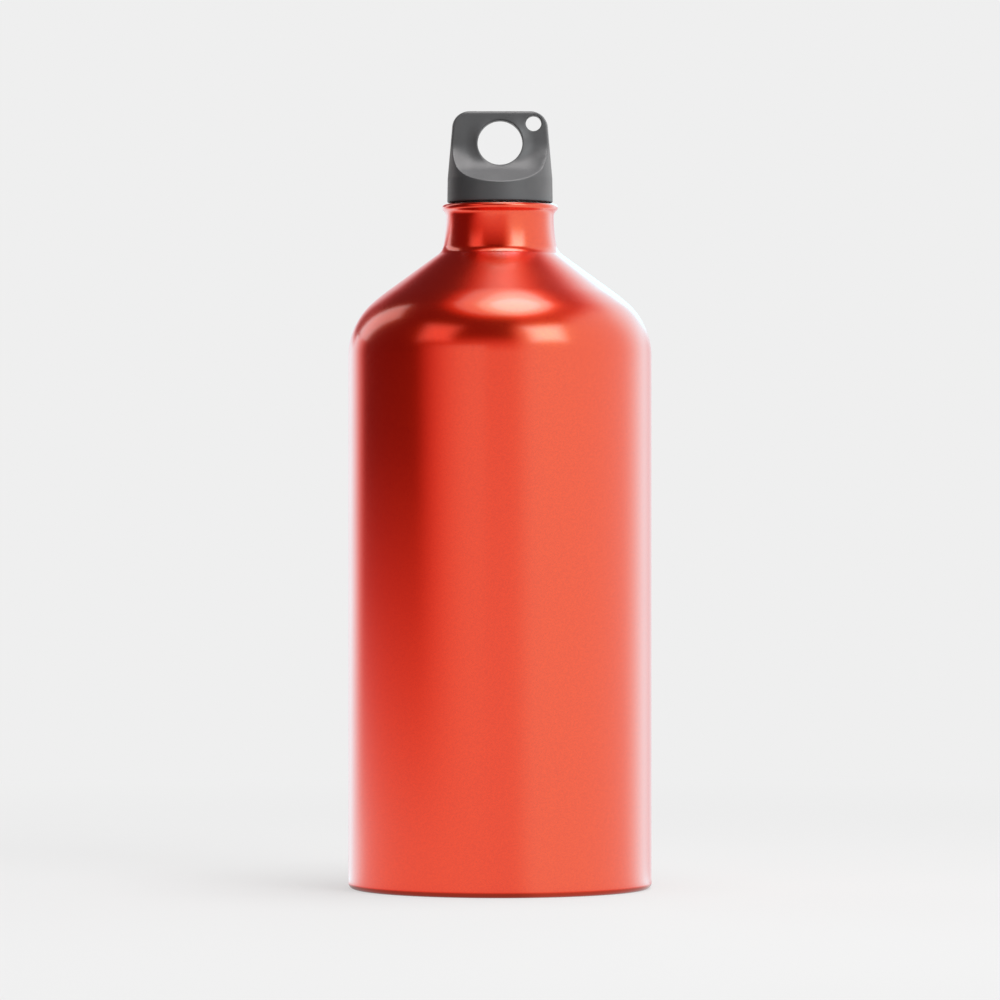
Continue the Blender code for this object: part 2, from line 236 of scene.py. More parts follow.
world = bpy.data.worlds.new("studio room")
bpy.context.scene.world = world
world.use_nodes = True
world.cycles.sampling_method = "NONE"
room = world.node_tree
room.nodes.clear()
look = add(room, "ShaderNodeTexCoord").outputs["Generated"]
height = add(room, MATH, (add(room, SPLIT, (look,)).outputs["Z"],), operation="ARCSINE")
level = room_level(room, azimuth_of(room, look), height)
ray = add(room, "ShaderNodeLightPath")
plain = add(room, MIX, {"Factor": seen_plainly(room, ray), "A": level, "B": BACKDROP})
links = {0: ray.outputs["Is Glossy Ray"], 6: plain, 7: mirrored_colour(room, ray, level)}
colour = add(room, MIX, links, data_type="RGBA").outputs[2]
background = add(room, "ShaderNodeBackground", {"Color": colour, "Strength": 1.0})
add(room, "ShaderNodeOutputWorld", {"Surface": background})
print("The world's tree has", len(room.nodes), "nodes")

# %% [markdown]
# ## Softboxes
#
# Soft lamps make the bright shapes in the lacquer: a strong one overhead with a wide pink rim, one at the
# front right that throws the faint shadow, a weak one at the front left and a narrow one behind on the left.
# Each is given by its direction and the angles that it covers, and its power follows from the brightness of
# its face.
#
# Each softbox is one white lamp for everything but the lacquer, and a few for the lacquer alone, in the tone
# that it takes there. Light linking keeps them apart. The few are of falling size, because a softbox is
# brightest in its middle. Each lamp stands a little behind the one before, because a mirrored ray finds only
# one of two lamps at the same distance.

# %% Softboxes
LIGHT_TARGET = Vector((0.0, 0.0, 120.0 * MM))
LIGHT_DISTANCE = 1.2
LIGHT_STEP = 5 * MM
FACE_POWER = {"RECTANGLE": math.pi, "ELLIPSE": math.pi**2 / 4}
EVEN_SHARES = (1.18, 0.95, 0.72)
lacquer_lamps = []
plain_lamps = []


def lamp_at(name, towards, width, height, roll, shape, colour):
    """An area lamp that faces the bottle. width and height are the angles that it covers, in degrees."""
    distance = LIGHT_DISTANCE + LIGHT_STEP * len(lacquer_lamps + plain_lamps)
    data = bpy.data.lights.new(name, "AREA")
    data.shape = shape
    data.size = 2 * distance * math.tan(math.radians(width / 2))
    data.size_y = 2 * distance * math.tan(math.radians(height / 2))
    data.energy = max(colour) * FACE_POWER[shape] * data.size * data.size_y
    data.color = [part / max(colour) for part in colour]
    lamp = placed(name, data)
    lamp.location = LIGHT_TARGET + towards * distance
    lamp.rotation_euler = towards.to_track_quat("Z", "Y").to_euler()
    lamp.rotation_euler.rotate_axis("Z", math.radians(roll))
    lamp.visible_camera = False
    return lamp


def even(*colour):
    """Three faces that fall off a little at the edge of the softbox."""
    return [(share, *[part / len(EVEN_SHARES) for part in colour]) for share in EVEN_SHARES]


# A face is its share of the softbox's size, and its red, green and blue.
OVERHEAD_FACES = [(0.9, 0.1, 2.2, 2.7), (0.6, 0.1, 2.7, 4.4)]
RIM_FACES = [(1.16, 0.50, 0.02, 0.02), (0.93, 0.40, 1.25, 1.35)]
BACK_FACES = [(1.0, 0.62, 1.25, 1.35)]
# Name, azimuth, elevation, width, height, roll, shape, white level, and faces for the lacquer.
SOFTBOXES = (
    ("overhead", 51.0, 80.8, 38.0, 46.0, -54.0, "ELLIPSE", 8.5, OVERHEAD_FACES),
    ("overhead rim", 14.0, 85.5, 45.5, 51.0, -14.0, "ELLIPSE", 0, RIM_FACES),
    ("front right", 38.5, 30.8, 25.0, 23.5, 0.0, "RECTANGLE", 6.8, even(0.7, 4.5, 5.9)),
    ("front left", -52.0, 31.0, 25.5, 24.0, 0.0, "RECTANGLE", 0.8, even(0.85, 0.70, 0.70)),
    ("back left", -127.5, 28.0, 19.0, 38.0, -25.0, "RECTANGLE", 1.6, BACK_FACES),
)
for name, azimuth, elevation, width, height, roll, shape, white, faces in SOFTBOXES:
    towards = direction(azimuth, elevation)
    for share, *colour in faces:
        size = (width * share, height * share)
        lacquer_lamps.append(lamp_at(name + " on lacquer", towards, *size, roll, shape, colour))
    if white:
        plain_lamps.append(lamp_at(name + " plain", towards, width, height, roll, shape, (white,) * 3))
print("Lamps:", len(lacquer_lamps), "for the lacquer and", len(plain_lamps), "for everything else")


def link_lamps(lacquered):
    """Lights the lacquered pieces with their own lamps, and everything else with the plain ones."""
    for lamps, state in ((lacquer_lamps, "INCLUDE"), (plain_lamps, "EXCLUDE")):
        lit = bpy.data.collections.new("lacquered pieces " + state.lower())
        for piece in lacquered:
            lit.objects.link(piece)
        for member in lit.collection_objects:
            member.light_linking.link_state = state
        for lamp in lamps:
            lamp.light_linking.receiver_collection = lit


# %% [markdown]
# ## The dark card
#
# On the left the lacquer is nearly black-red under the shoulder and grows bright towards the foot. A graded
# card beside the bottle does that. It is dark at the top and grows bright downwards. To both sides it grows
# as bright as the room behind it, so that no edge shows. Only mirroring surfaces see it. It is an upright
# strip that follows a circle, so one function sweeps a line of points over some azimuths. The tent uses it
# too.

# %% The dark card
CARD_REACH = 290.0 * MM
CARD_HIGH = 200.0 * MM
CARD_DARK_ABOVE = 150.0 * MM
CARD_GRADE = 2.6
CARD_LEVEL = 0.036
CARD_FROM, CARD_TO = -142.0, -10.0
CARD_STEPS = 32
CARD_ENDS = ((-18.0, -64.0), (-140.0, -116.0))


def mirrored_only(name, line, azimuths, material):
    """A wall that only mirroring surfaces see: a line of (radius, height) swept over the azimuths."""
    sides = [direction(azimuth, 0.0) for azimuth in azimuths]
    points = [(side.x * radius, side.y * radius, z) for side in sides for radius, z in line]
    starts = range(0, len(points) - len(line), len(line))
    corners = [start + i for start in starts for i in range(len(line) - 1)]
    faces = [(i, i + len(line), i + len(line) + 1, i + 1) for i in corners]
    wall = sheet(name, points, faces, material)
    for rays in ("camera", "diffuse", "transmission", "shadow"):
        setattr(wall, "visible_" + rays, False)
    print(name, "has", len(faces), "faces")
    return wall


tree, card_paper = new_material("graded dark card")
place = add(tree, "ShaderNodeTexCoord").outputs["Object"]
links = {"Value": add(tree, SPLIT, (place,)).outputs["Z"], "From Min": CARD_DARK_ABOVE, "From Max": 0.0}
bright = add(tree, MATH, (add(tree, MAP, links), CARD_GRADE), operation="POWER")
azimuth = azimuth_of(tree, place)
behind = room_level(tree, azimuth)
level = add(tree, MIX, {"Factor": bright, "A": CARD_LEVEL, "B": behind})
for start, full in CARD_ENDS:
    level = take_over(tree, behind, level, azimuth, start, full)
ray = add(tree, "ShaderNodeLightPath")
graded = add(tree, "ShaderNodeEmission", {"Color": mirrored_colour(tree, ray, level), "Strength": 1.0})
add(tree, "ShaderNodeOutputMaterial", {"Surface": graded})
card_paper.cycles.emission_sampling = "NONE"

card_azimuths = [CARD_FROM + (CARD_TO - CARD_FROM) * i / CARD_STEPS for i in range(CARD_STEPS + 1)]
card = mirrored_only("dark_card", ((CARD_REACH, 0.0), (CARD_REACH, CARD_HIGH)), card_azimuths, card_paper)

# %% [markdown]
# ## The floor
#
# The floor is matt white paper that runs on into the backdrop. To the camera a part of its white is its own
# glow and the rest is plain diffuse white, so that the bottle's faint shadow still shows. Far from the bottle
# only the glow is left, and the floor meets the backdrop without a line. The lacquer mirrors it as the low
# part of the room, and darker close to the foot, where the bottle keeps the light off it.

# %% Floor
BODY_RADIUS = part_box("bottle_body")[1].x
FLOOR_HALF = 30.0
FLOOR_GLOW = 0.573
FLOOR_NEAR = 0.20
FLOOR_FAR = 0.60
FOOT_SHADE_FROM = 37.0 * MM
FOOT_SHADE_TO = 62.0 * MM
FOOT_SHADE = 0.25

tree, paper = new_material("matt white studio paper")
place = add(tree, "ShaderNodeTexCoord").outputs["Object"]
distance = add(tree, "ShaderNodeVectorMath", (place,), operation="LENGTH").outputs["Value"]


def mirrored_azimuth(tree, place, distance):
    """The direction in which the lacquered side shows this point of the floor to the camera."""
    azimuth = turned = azimuth_of(tree, place)
    half_sine = ("MULTIPLY", 0.5), ("SINE",)
    for operation, *by in (*half_sine, ("MULTIPLY", BODY_RADIUS), ("DIVIDE", distance), ("ARCSINE",)):
        turned = add(tree, MATH, (turned, *by), operation=operation)
    return add(tree, MATH, (azimuth, turned), operation="ADD")


links = {"Value": distance, "From Min": FLOOR_NEAR, "From Max": FLOOR_FAR}
away = add(tree, MAP, links, interpolation_type="SMOOTHSTEP")
glow = add(tree, "ShaderNodeEmission", {"Color": linear("#FFFFFF"), "Strength": FLOOR_GLOW})
catcher = add(tree, "ShaderNodeBsdfDiffuse", {"Color": linear("#787878")})
near = add(tree, "ShaderNodeAddShader", (glow, catcher))
far = add(tree, "ShaderNodeEmission", {"Color": linear("#FFFFFF"), "Strength": BACKDROP})
shown = add(tree, "ShaderNodeMixShader", (away, near, far))
links = {"Value": distance, "From Min": FOOT_SHADE_FROM, "From Max": FOOT_SHADE_TO, "To Min": FOOT_SHADE}
shade = add(tree, MAP, links, interpolation_type="SMOOTHSTEP")
level = room_level(tree, mirrored_azimuth(tree, place, distance))
level = add(tree, MATH, (level, shade), operation="MULTIPLY")
ray = add(tree, "ShaderNodeLightPath")
mirrored = add(tree, "ShaderNodeEmission", {"Color": mirrored_colour(tree, ray, level), "Strength": 1.0})
links = {0: away, 6: linear("#B4B4B4"), 7: linear("#585858")}
bounced = add(tree, "ShaderNodeBsdfDiffuse", {"Color": add(tree, MIX, links, data_type="RGBA").outputs[2]})
mixed = add(tree, "ShaderNodeMixShader", (seen_plainly(tree, ray), bounced, shown))
mixed = add(tree, "ShaderNodeMixShader", (ray.outputs["Is Glossy Ray"], mixed, mirrored))
add(tree, "ShaderNodeOutputMaterial", {"Surface": mixed})
paper.cycles.emission_sampling = "NONE"

corners = [(x * FLOOR_HALF, y * FLOOR_HALF, 0.0) for x, y in ((-1, -1), (1, -1), (1, 1), (-1, 1))]
floor = sheet("floor", corners, [(0, 1, 2, 3)], paper)
print("The floor is", 2 * FLOOR_HALF, "m wide and its paper has", len(tree.nodes), "nodes")

# %% [markdown]
# ## Finishes: lacquered aluminium
#
# The outside is sprayed with a clear red lacquer over bare metal with fine aluminium flake in it, then
# baked. The metal gives the strong, coloured reflection, and the lacquer on top gives a second, colourless
# one, so the highlights turn pink and the rims white. Both are satin, not mirror. The flake varies the
# colour a little from grain to grain, and the spray leaves a very shallow ripple.
#
# All finishes are made alike: one pattern moves the colour between two paints, one moves the gloss between
# two values, and one may give a relief. So one function joins them in a shader.

# %% Red lacquer
FLAKE_MM = 0.25
RIPPLE_MM = 1.6
CLOUD_MM = 18.0
NOISE_LOW, NOISE_HIGH = 0.3, 0.7


def pattern(tree, kind, size_mm, **settings):
    """A noise or cell pattern on Object coordinates whose features are about size_mm across."""
    place = add(tree, "ShaderNodeTexCoord").outputs["Object"]
    return add(tree, kind, {"Vector": place, "Scale": 1.0 / (size_mm * MM), **settings})


def dress(material, tint, gloss, relief=None, fixed=None, tint_range=(NOISE_LOW, NOISE_HIGH)):
    """Ends a material's tree. tint is a pattern and two hex codes, gloss a pattern and two roughnesses,
    relief a pattern, a strength and a depth in mm, and fixed is what is the same all over."""
    tree = material.node_tree
    links = {"Value": tint[0], "From Min": tint_range[0], "From Max": tint_range[1]}
    links = {0: add(tree, MAP, links), 6: linear(tint[1]), 7: linear(tint[2])}
    inputs = {"Base Color": add(tree, MIX, links, data_type="RGBA").outputs[2], **(fixed or {})}
    links = {"Value": gloss[0], "From Min": NOISE_LOW, "From Max": NOISE_HIGH}
    inputs["Roughness"] = add(tree, MAP, {**links, "To Min": gloss[1], "To Max": gloss[2]})
    if relief:
        links = {"Height": relief[0], "Strength": relief[1], "Distance": relief[2] * MM}
        inputs["Normal"] = inputs["Coat Normal"] = add(tree, "ShaderNodeBump", links)
    shader = add(tree, "ShaderNodeBsdfPrincipled", inputs)
    add(tree, "ShaderNodeOutputMaterial", {"Surface": shader})
    print("Finish:", material.name, "in", len(tree.nodes), "nodes")


tree, red_lacquer = new_material("satin metallic red lacquer on aluminium")
cells = pattern(tree, "ShaderNodeTexVoronoi", FLAKE_MM).outputs["Color"]
flake = add(tree, "ShaderNodeSeparateColor", (cells,))
clouds = pattern(tree, "ShaderNodeTexNoise", CLOUD_MM, Detail=3.0)
ripple = pattern(tree, "ShaderNodeTexNoise", RIPPLE_MM, Detail=1.0)
coated_metal = {"Metallic": 1.0, "Coat Weight": 1.0, "Coat Roughness": 0.15, "Coat IOR": 1.5}
tint, gloss, relief = (flake, "#EE3B0F", "#F7430F"), (clouds, 0.21, 0.25), (ripple, 0.10, 0.004)
dress(red_lacquer, tint, gloss, relief, coated_metal, tint_range=(0.0, 1.0))

# %% [markdown]
# ## Finishes: the inside of the bottle
#
# Food bottles of this kind are lined with a thin, golden clear lacquer that keeps the drink off the metal. It
# shows the drawn metal through it, so it is a warm, low-gloss metal with a thin coat.

# %% Food lacquer
tree, food_lacquer = new_material("golden food lacquer on drawn aluminium")
clouds = pattern(tree, "ShaderNodeTexNoise", CLOUD_MM, Detail=4.0)
thin_coat = {"Metallic": 1.0, "Coat Weight": 0.6, "Coat Roughness": 0.2}
dress(food_lacquer, (clouds, "#C9AE74", "#D8C08C"), (clouds, 0.34, 0.44), fixed=thin_coat)

# %% [markdown]
# ## Finishes: turned aluminium
#
# The threaded ring is machined and left bare. A lathe tool leaves fine rings all round, a few hundredths of
# a millimetre deep, which stretch its highlights. They run round Z, so they are a wave that changes with
# height. At a scale of 1 Blender's wave has a period of tau / 20.

# %% Bare aluminium
TOOL_MARK_MM = 0.22
METAL_GRAIN_MM = 0.8
WAVE_PERIOD = math.tau / 20

tree, bare_aluminium = new_material("turned bare aluminium")
grain = pattern(tree, "ShaderNodeTexNoise", METAL_GRAIN_MM, Detail=3.0)
place = add(tree, "ShaderNodeTexCoord").outputs["Object"]
links = {"Vector": place, "Scale": WAVE_PERIOD / (TOOL_MARK_MM * MM), "Distortion": 0.6, "Detail": 1.0}
marks = add(tree, "ShaderNodeTexWave", links, bands_direction="Z").outputs["Fac"]
tint, gloss, relief = (grain, "#CFD0D3", "#DADBDD"), (grain, 0.22, 0.34), (marks, 0.25, 0.02)
dress(bare_aluminium, tint, gloss, relief, {"Metallic": 1.0}, tint_range=(0.0, 1.0))

# %% [markdown]
# ## Finishes: the cap's plastic
#
# The cap is dark grey polypropylene. The mould was spark eroded, which gives the plastic an even, fine, matt
# grain. The grain here is about a third of a millimetre, a little coarser than the real one, so that it
# shows.

# %% Grey polypropylene
GRAIN_MM = 0.32
FLOW_MM = 6.0

tree, cap_plastic = new_material("spark-eroded grey polypropylene")
grain = pattern(tree, "ShaderNodeTexNoise", GRAIN_MM, Detail=2.0, Roughness=0.6)
flow = pattern(tree, "ShaderNodeTexNoise", FLOW_MM, Detail=2.0)
dress(cap_plastic, (flow, "#464647", "#4C4C4D"), (grain, 0.44, 0.52), (grain, 0.35, 0.03), {"IOR": 1.49})

# %% [markdown]
# ## Finishes: plug and seal
#
# The plug is natural polypropylene, milky and slightly see-through, so light spreads a little under its skin.
# The seal is grey silicone rubber, softer and duller.

# %% Natural polypropylene and silicone
MILK_MM = 5.0
SKIN_MM = 0.5
RUBBER_MM = 1.2
MILK_SPREAD = (1.2 * MM, 1.1 * MM, 1.0 * MM)

tree, plug_plastic = new_material("natural milky polypropylene")
milk = pattern(tree, "ShaderNodeTexNoise", MILK_MM, Detail=2.0)
skin = pattern(tree, "ShaderNodeTexNoise", SKIN_MM, Detail=1.0)
tint, gloss, relief = (milk, "#D2D1CC", "#DCDBD6"), (skin, 0.36, 0.44), (skin, 0.15, 0.01)
milky = {"IOR": 1.49, "Subsurface Weight": 0.25, "Subsurface Radius": MILK_SPREAD, "Subsurface Scale": 1.0}
dress(plug_plastic, tint, gloss, relief, milky)

tree, silicone = new_material("moulded grey silicone rubber")
mottle = pattern(tree, "ShaderNodeTexNoise", RUBBER_MM, Detail=3.0)
dress(silicone, (mottle, "#9B9DA0", "#A6A8AB"), (mottle, 0.55, 0.68), (mottle, 0.2, 0.02), {"IOR": 1.41})

# %% [markdown]
# ## Turning a profile
#
# The bottle, the threaded ring, the plug and the seal are all turned shapes: a line of points, half of the
# cross-section, swept round the axis. Blender's Screw modifier could do it, but not a thread on the same
# surface. A Geometry Nodes tree can do both. It lays a grid with one column of points for each step of the
# turn, reads the profile's point for each row, and swings it round Z.
#
# Where the profile is flagged as threaded, a row doesn't run level. It climbs by one pitch in a turn, so the
# edges of the thread always lie along rows and come out crisp, and after the full turn it meets the row one
# pitch higher. Rows are held between the thread's two ends, and points that meet are merged.

# %% The turning tree
TURN_STEPS = 256
SAME_PLACE = 0.001 * MM


def swept_grid(tree, given):
    """A grid for the turn, the share of the turn at each point, and what the profile says for its row."""
    rows = add(tree, "GeometryNodeAttributeDomainSize", (given["Profile"],)).outputs["Point Count"]
    columns = add(tree, MATH, (given["Turn Steps"], 1.0), operation="ADD")
    grid = add(tree, "GeometryNodeMeshGrid", {"Vertices X": columns, "Vertices Y": rows}).outputs["Mesh"]
    index = column = add(tree, "GeometryNodeInputIndex")
    for operation, *by in (("ADD", 0.5), ("DIVIDE", rows), ("FLOOR",)):
        column = add(tree, MATH, (column, *by), operation=operation)
    row = add(tree, MATH, (column, rows), operation="MULTIPLY")
    row = add(tree, MATH, (index, row), operation="SUBTRACT")
    share = add(tree, MATH, (column, given["Turn Steps"]), operation="DIVIDE")
    profile = []
    for name, kind in (("position", "FLOAT_VECTOR"), ("threaded", "FLOAT"), ("inside", "FLOAT")):
        said = add(tree, "GeometryNodeInputNamedAttribute", {"Name": name}, data_type=kind)
        links = {"Geometry": given["Profile"], "Value": said.outputs["Attribute"], "Index": row}
        profile.append(add(tree, "GeometryNodeSampleIndex", links, data_type=kind).outputs["Value"])
    return grid, share, profile


def thread_rise(tree, given, line_z, z):
    """The thread's height over its wall, as a share of its depth: by the profile, and fading at its ends."""
    phase = add(tree, MATH, (line_z, given["Pitch"]), operation="DIVIDE")
    crest = add(tree, MATH, (phase,), operation="ROUND")
    for operation, *by in (("SUBTRACT", crest), ("ABSOLUTE",), ("MULTIPLY", given["Pitch"])):
        phase = add(tree, MATH, (phase, *by), operation=operation)
    links = {"Value": phase, "From Min": given["Crest Half Width"], "From Max": given["Root Half Width"]}
    rise = add(tree, MAP, {**links, "To Min": 1.0, "To Max": 0.0})
    above = add(tree, MATH, (z, given["Thread Low"]), operation="SUBTRACT")
    below = add(tree, MATH, (given["Thread High"], z), operation="SUBTRACT")
    into = add(tree, MATH, (above, below), operation="MINIMUM")
    fade = add(tree, MAP, {"Value": into, "From Max": given["Runout"]}, interpolation_type="SMOOTHSTEP")
    return add(tree, MATH, (rise, fade), operation="MULTIPLY")


def turning_tree():
    """The tree that turns a profile, and the identifier of each of its inputs."""
    tree = bpy.data.node_groups.new("turn a profile", "GeometryNodeTree")
    inputs = {}
    for name, kind, value in (
        ("Profile", "Geometry", None),
        ("Turn Steps", "Int", TURN_STEPS),
        ("Pitch", "Float", 1.0),
        ("Thread Depth", "Float", 0.0),
        ("Crest Half Width", "Float", 0.1),
        ("Root Half Width", "Float", 0.2),
        ("Thread Low", "Float", 0.0),
        ("Thread High", "Float", 1.0),
        ("Runout", "Float", 1.0),
        ("Outer Material", "Material", None),
        ("Inner Material", "Material", None),
    ):
        socket = tree.interface.new_socket(name=name, in_out="INPUT", socket_type="NodeSocket" + kind)
        if value is not None:
            socket.default_value = value
        inputs[name] = socket.identifier
    tree.interface.new_socket(name="Mesh", in_out="OUTPUT", socket_type="NodeSocketGeometry")
    given = add(tree, "NodeGroupInput").outputs

    grid, share, (point, threaded, flagged_inside) = swept_grid(tree, given)
    line = add(tree, SPLIT, (point,)).outputs
    climbed = add(tree, MATH, (given["Pitch"], share, line["Z"]), operation="MULTIPLY_ADD")
    held = add(tree, MATH, (climbed, given["Thread High"]), operation="MINIMUM")
    held = add(tree, MATH, (held, given["Thread Low"]), operation="MAXIMUM")
    z = add(tree, MIX, {"Factor": threaded, "A": line["Z"], "B": held})
    depth = add(tree, MATH, (threaded, given["Thread Depth"]), operation="MULTIPLY")
    out = add(tree, MATH, (thread_rise(tree, given, line["Z"], z), depth), operation="MULTIPLY")
    radius = add(tree, MATH, (line["X"], out), operation="ADD")
    angle = add(tree, MATH, (share, math.tau), operation="MULTIPLY")
    across = add(tree, MATH, (add(tree, MATH, (angle,), operation="COSINE"), radius), operation="MULTIPLY")
    along = add(tree, MATH, (add(tree, MATH, (angle,), operation="SINE"), radius), operation="MULTIPLY")
    place = add(tree, "ShaderNodeCombineXYZ", (across, along, z))

    kept = add(tree, "GeometryNodeCaptureAttribute", {"Geometry": grid}, domain="POINT")
    kept.capture_items.new("FLOAT", "inside")
    tree.links.new(flagged_inside, kept.inputs[1])
    swung = add(tree, "GeometryNodeSetPosition", {"Geometry": kept, "Position": place})
    merged = add(tree, "GeometryNodeMergeByDistance", {"Geometry": swung, "Distance": SAME_PLACE})
    real = add(tree, "GeometryNodeRealizeInstances", {"Geometry": merged})
    links = {"Geometry": real, "Material": given["Outer Material"]}
    dressed = add(tree, "GeometryNodeSetMaterial", links)
    is_inside = add(tree, "FunctionNodeCompare", {0: kept.outputs[1], 1: 0.5}, operation="GREATER_THAN")
    links = {"Geometry": dressed, "Selection": is_inside, "Material": given["Inner Material"]}
    add(tree, "NodeGroupOutput", {0: add(tree, "GeometryNodeSetMaterial", links)})
    return tree, inputs


turning, turning_inputs = turning_tree()
print("The turning tree has", len(turning.nodes), "nodes and", len(turning_inputs), "inputs")

# %% [markdown]
# ## From profile to piece
#
# A profile is a wire mesh on a blank object that carries the tree as a modifier. The result is taken off as a
# plain mesh and the blank is thrown away, so nothing live is left. Every piece is finished alike: slivers go,
# faces point outwards, and only real edges stay sharp.

# %% Turn and finish a piece
ML = 1e-6
SHARP_FROM = 40.0
THREAD_SHARP_FROM = 30.0


def finished(name, mesh, sharp_from=SHARP_FROM):
    """A mesh as a finished piece at the origin: normals out, smooth but for edges sharper than an angle."""
    shape = bmesh.new()
    shape.from_mesh(mesh)
    bmesh.ops.dissolve_degenerate(shape, edges=shape.edges, dist=SAME_PLACE / 10)
    open_edges = sum(not edge.is_manifold for edge in shape.edges)
    volume = shape.calc_volume(signed=True)
    if volume < 0.0:
        bmesh.ops.reverse_faces(shape, faces=shape.faces)
    shape.to_mesh(mesh)
    shape.free()
    mesh.shade_smooth()
    mesh.set_sharp_from_angle(angle=math.radians(sharp_from))
    piece = placed(name, mesh)
    triangles = sum(len(polygon.vertices) - 2 for polygon in mesh.polygons)
    millilitres = round(abs(volume) / ML, 2)
    print(name, "has", triangles, "triangles,", open_edges, "open edges and", millilitres, "ml")
    return piece


def turned_piece(name, profile, outer, inner=None, threaded=(), inside=(), sharp_from=SHARP_FROM, sizes=None):
    """Turns (radius, height) points round Z. threaded and inside hold the numbers of flagged points."""
    mesh = bpy.data.meshes.new(name + " profile")
    mesh.from_pydata([(r, 0.0, z) for r, z in profile], [(i, i + 1) for i in range(len(profile) - 1)], [])
    for flag, members in (("threaded", threaded), ("inside", inside)):
        values = [float(i in members) for i in range(len(profile))]
        mesh.attributes.new(flag, "FLOAT", "POINT").data.foreach_set("value", values)
    blank = placed(name + " blank", mesh)
    turn = blank.modifiers.new("Turn", "NODES")
    turn.node_group = turning
    for label, value in {"Outer Material": outer, "Inner Material": inner or outer, **(sizes or {})}.items():
        turn[turning_inputs[label]] = value
    evaluated = blank.evaluated_get(bpy.context.evaluated_depsgraph_get())
    result = bpy.data.meshes.new_from_object(evaluated)
    bpy.data.objects.remove(blank)
    return finished(name, result, sharp_from)


# %% [markdown]
# ## Profiles from arcs
#
# A draughtsman would draw the profile as straight lines and arcs that touch. So does this: each arc has a
# centre, a radius and two angles, and straight runs join them by themselves. A long straight run gets an
# extra point close to each of its ends, because smooth shading would otherwise lean over its whole length.

# %% Arcs and runs
ARC_STEP = math.radians(3.0)
TIGHT_STEP = 3 * ARC_STEP
GUARD = 0.15 * MM
LONG_GAP = 8 * GUARD


def arc(centre, radius, start, end, step=ARC_STEP):
    """Points on a circle in the profile plane, from one angle to another."""
    count = max(2, math.ceil(abs(end - start) / step))
    angles = [start + (end - start) * i / count for i in range(count + 1)]
    return [(centre[0] + radius * math.cos(a), centre[1] + radius * math.sin(a)) for a in angles]


def run_together(*runs):
    """Runs of points as one line. Shared points are kept once, and long gaps get a guard at each end."""
    line = []
    for run in runs:
        for point in run:
            gap = math.dist(line[-1], point) if line else 0.0
            if line and gap < SAME_PLACE:
                continue
            if gap > LONG_GAP:
                last = line[-1]
                for share in (GUARD / gap, 1.0 - GUARD / gap):
                    line.append(tuple(a + (b - a) * share for a, b in zip(last, point)))
            line.append(point)
    return line


print("A quarter circle has", len(arc((0.0, 0.0), 1.0, 0.0, math.pi / 2)), "points")

# %% [markdown]
# ## The bottle
#
# The sizes come first. The body is a straight tube. A wide arc turns it in to a cone, a smaller one turns the
# cone up into the neck, and the lip is rolled outwards over a small fillet. Below, a tight edge leads to the
# flat ring that the bottle stands on, and the base is domed inwards so that it can't rock.

# %% The bottle's sizes
SIDE_HEIGHT = 142.2 * MM
SHOULDER_RADIUS = 18.7 * MM
SHOULDER_SLOPE = math.radians(36.0)
EASE_RADIUS = 50.0 * MM
EASE_ANGLE = math.radians(6.0)
NECK_RADIUS = 14.4 * MM
NECK_SWEEP = 40.0 * MM
NECK_SWEEP_ANGLE = math.radians(11.5)
LIP_TOP = 182.7 * MM
WALL = 0.8 * MM
BASE_WALL = 1.2 * MM
LIP_OVERHANG = 1.1 * MM
LIP_FILLET = 2.0 * MM
FOOT_EDGE_RADIUS = 1.5 * MM
FOOT_WIDTH = 2.8 * MM
FOOT_INNER_RADIUS = 3.0 * MM
DOME_RISE = 6.0 * MM
INNER_CORNER_RADIUS = 2.2 * MM
print("The lip is", round(LIP_TOP / MM, 1), "mm above the table")

# %% [markdown]
# ## Where the arcs touch
#
# Two arcs run smoothly into each other where the point that they share lies on a line through both centres.
# That rule gives the centres. The fillet at the neck's foot is as large as cone and neck leave room for.

# %% The shoulder and the neck
lean = math.pi / 2 - SHOULDER_SLOPE
shoulder_centre = (BODY_RADIUS - SHOULDER_RADIUS, SIDE_HEIGHT)
ease_from = lean - EASE_ANGLE
ease_centre = (
    shoulder_centre[0] - (EASE_RADIUS - SHOULDER_RADIUS) * math.cos(ease_from),
    shoulder_centre[1] - (EASE_RADIUS - SHOULDER_RADIUS) * math.sin(ease_from),
)
cone_foot = (ease_centre[0] + EASE_RADIUS * math.cos(lean), ease_centre[1] + EASE_RADIUS * math.sin(lean))

NECK_INNER = NECK_RADIUS - WALL
ROLL_RADIUS = (WALL + LIP_OVERHANG) / 2
ROLL_HEIGHT = LIP_TOP - ROLL_RADIUS
TUCK_REACH = ROLL_RADIUS + LIP_FILLET
TUCK_ANGLE = math.acos((NECK_RADIUS + LIP_FILLET - NECK_INNER - ROLL_RADIUS) / TUCK_REACH)
NECK_TOP = ROLL_HEIGHT - TUCK_REACH * math.sin(TUCK_ANGLE)

sweep_end_r = NECK_RADIUS + NECK_SWEEP * (1 - math.cos(NECK_SWEEP_ANGLE))
sweep_end_z = NECK_TOP - NECK_SWEEP * math.sin(NECK_SWEEP_ANGLE)
above_cone = sweep_end_z - cone_foot[1] - (cone_foot[0] - sweep_end_r) * math.tan(SHOULDER_SLOPE)
fall = math.sin(lean) - math.sin(NECK_SWEEP_ANGLE)
fall -= (math.cos(NECK_SWEEP_ANGLE) - math.cos(lean)) * math.tan(SHOULDER_SLOPE)
NECK_FILLET = above_cone / fall
print("The neck's foot is rounded by", round(NECK_FILLET / MM, 2), "mm")

# %% [markdown]
# ## The shell's profile
#
# The line starts inside at the middle of the base, runs up the inner wall, round the lip and down the
# outside. Turned round Z it is one closed shell. Its points up to the lip are flagged as inside, for the
# food lacquer.

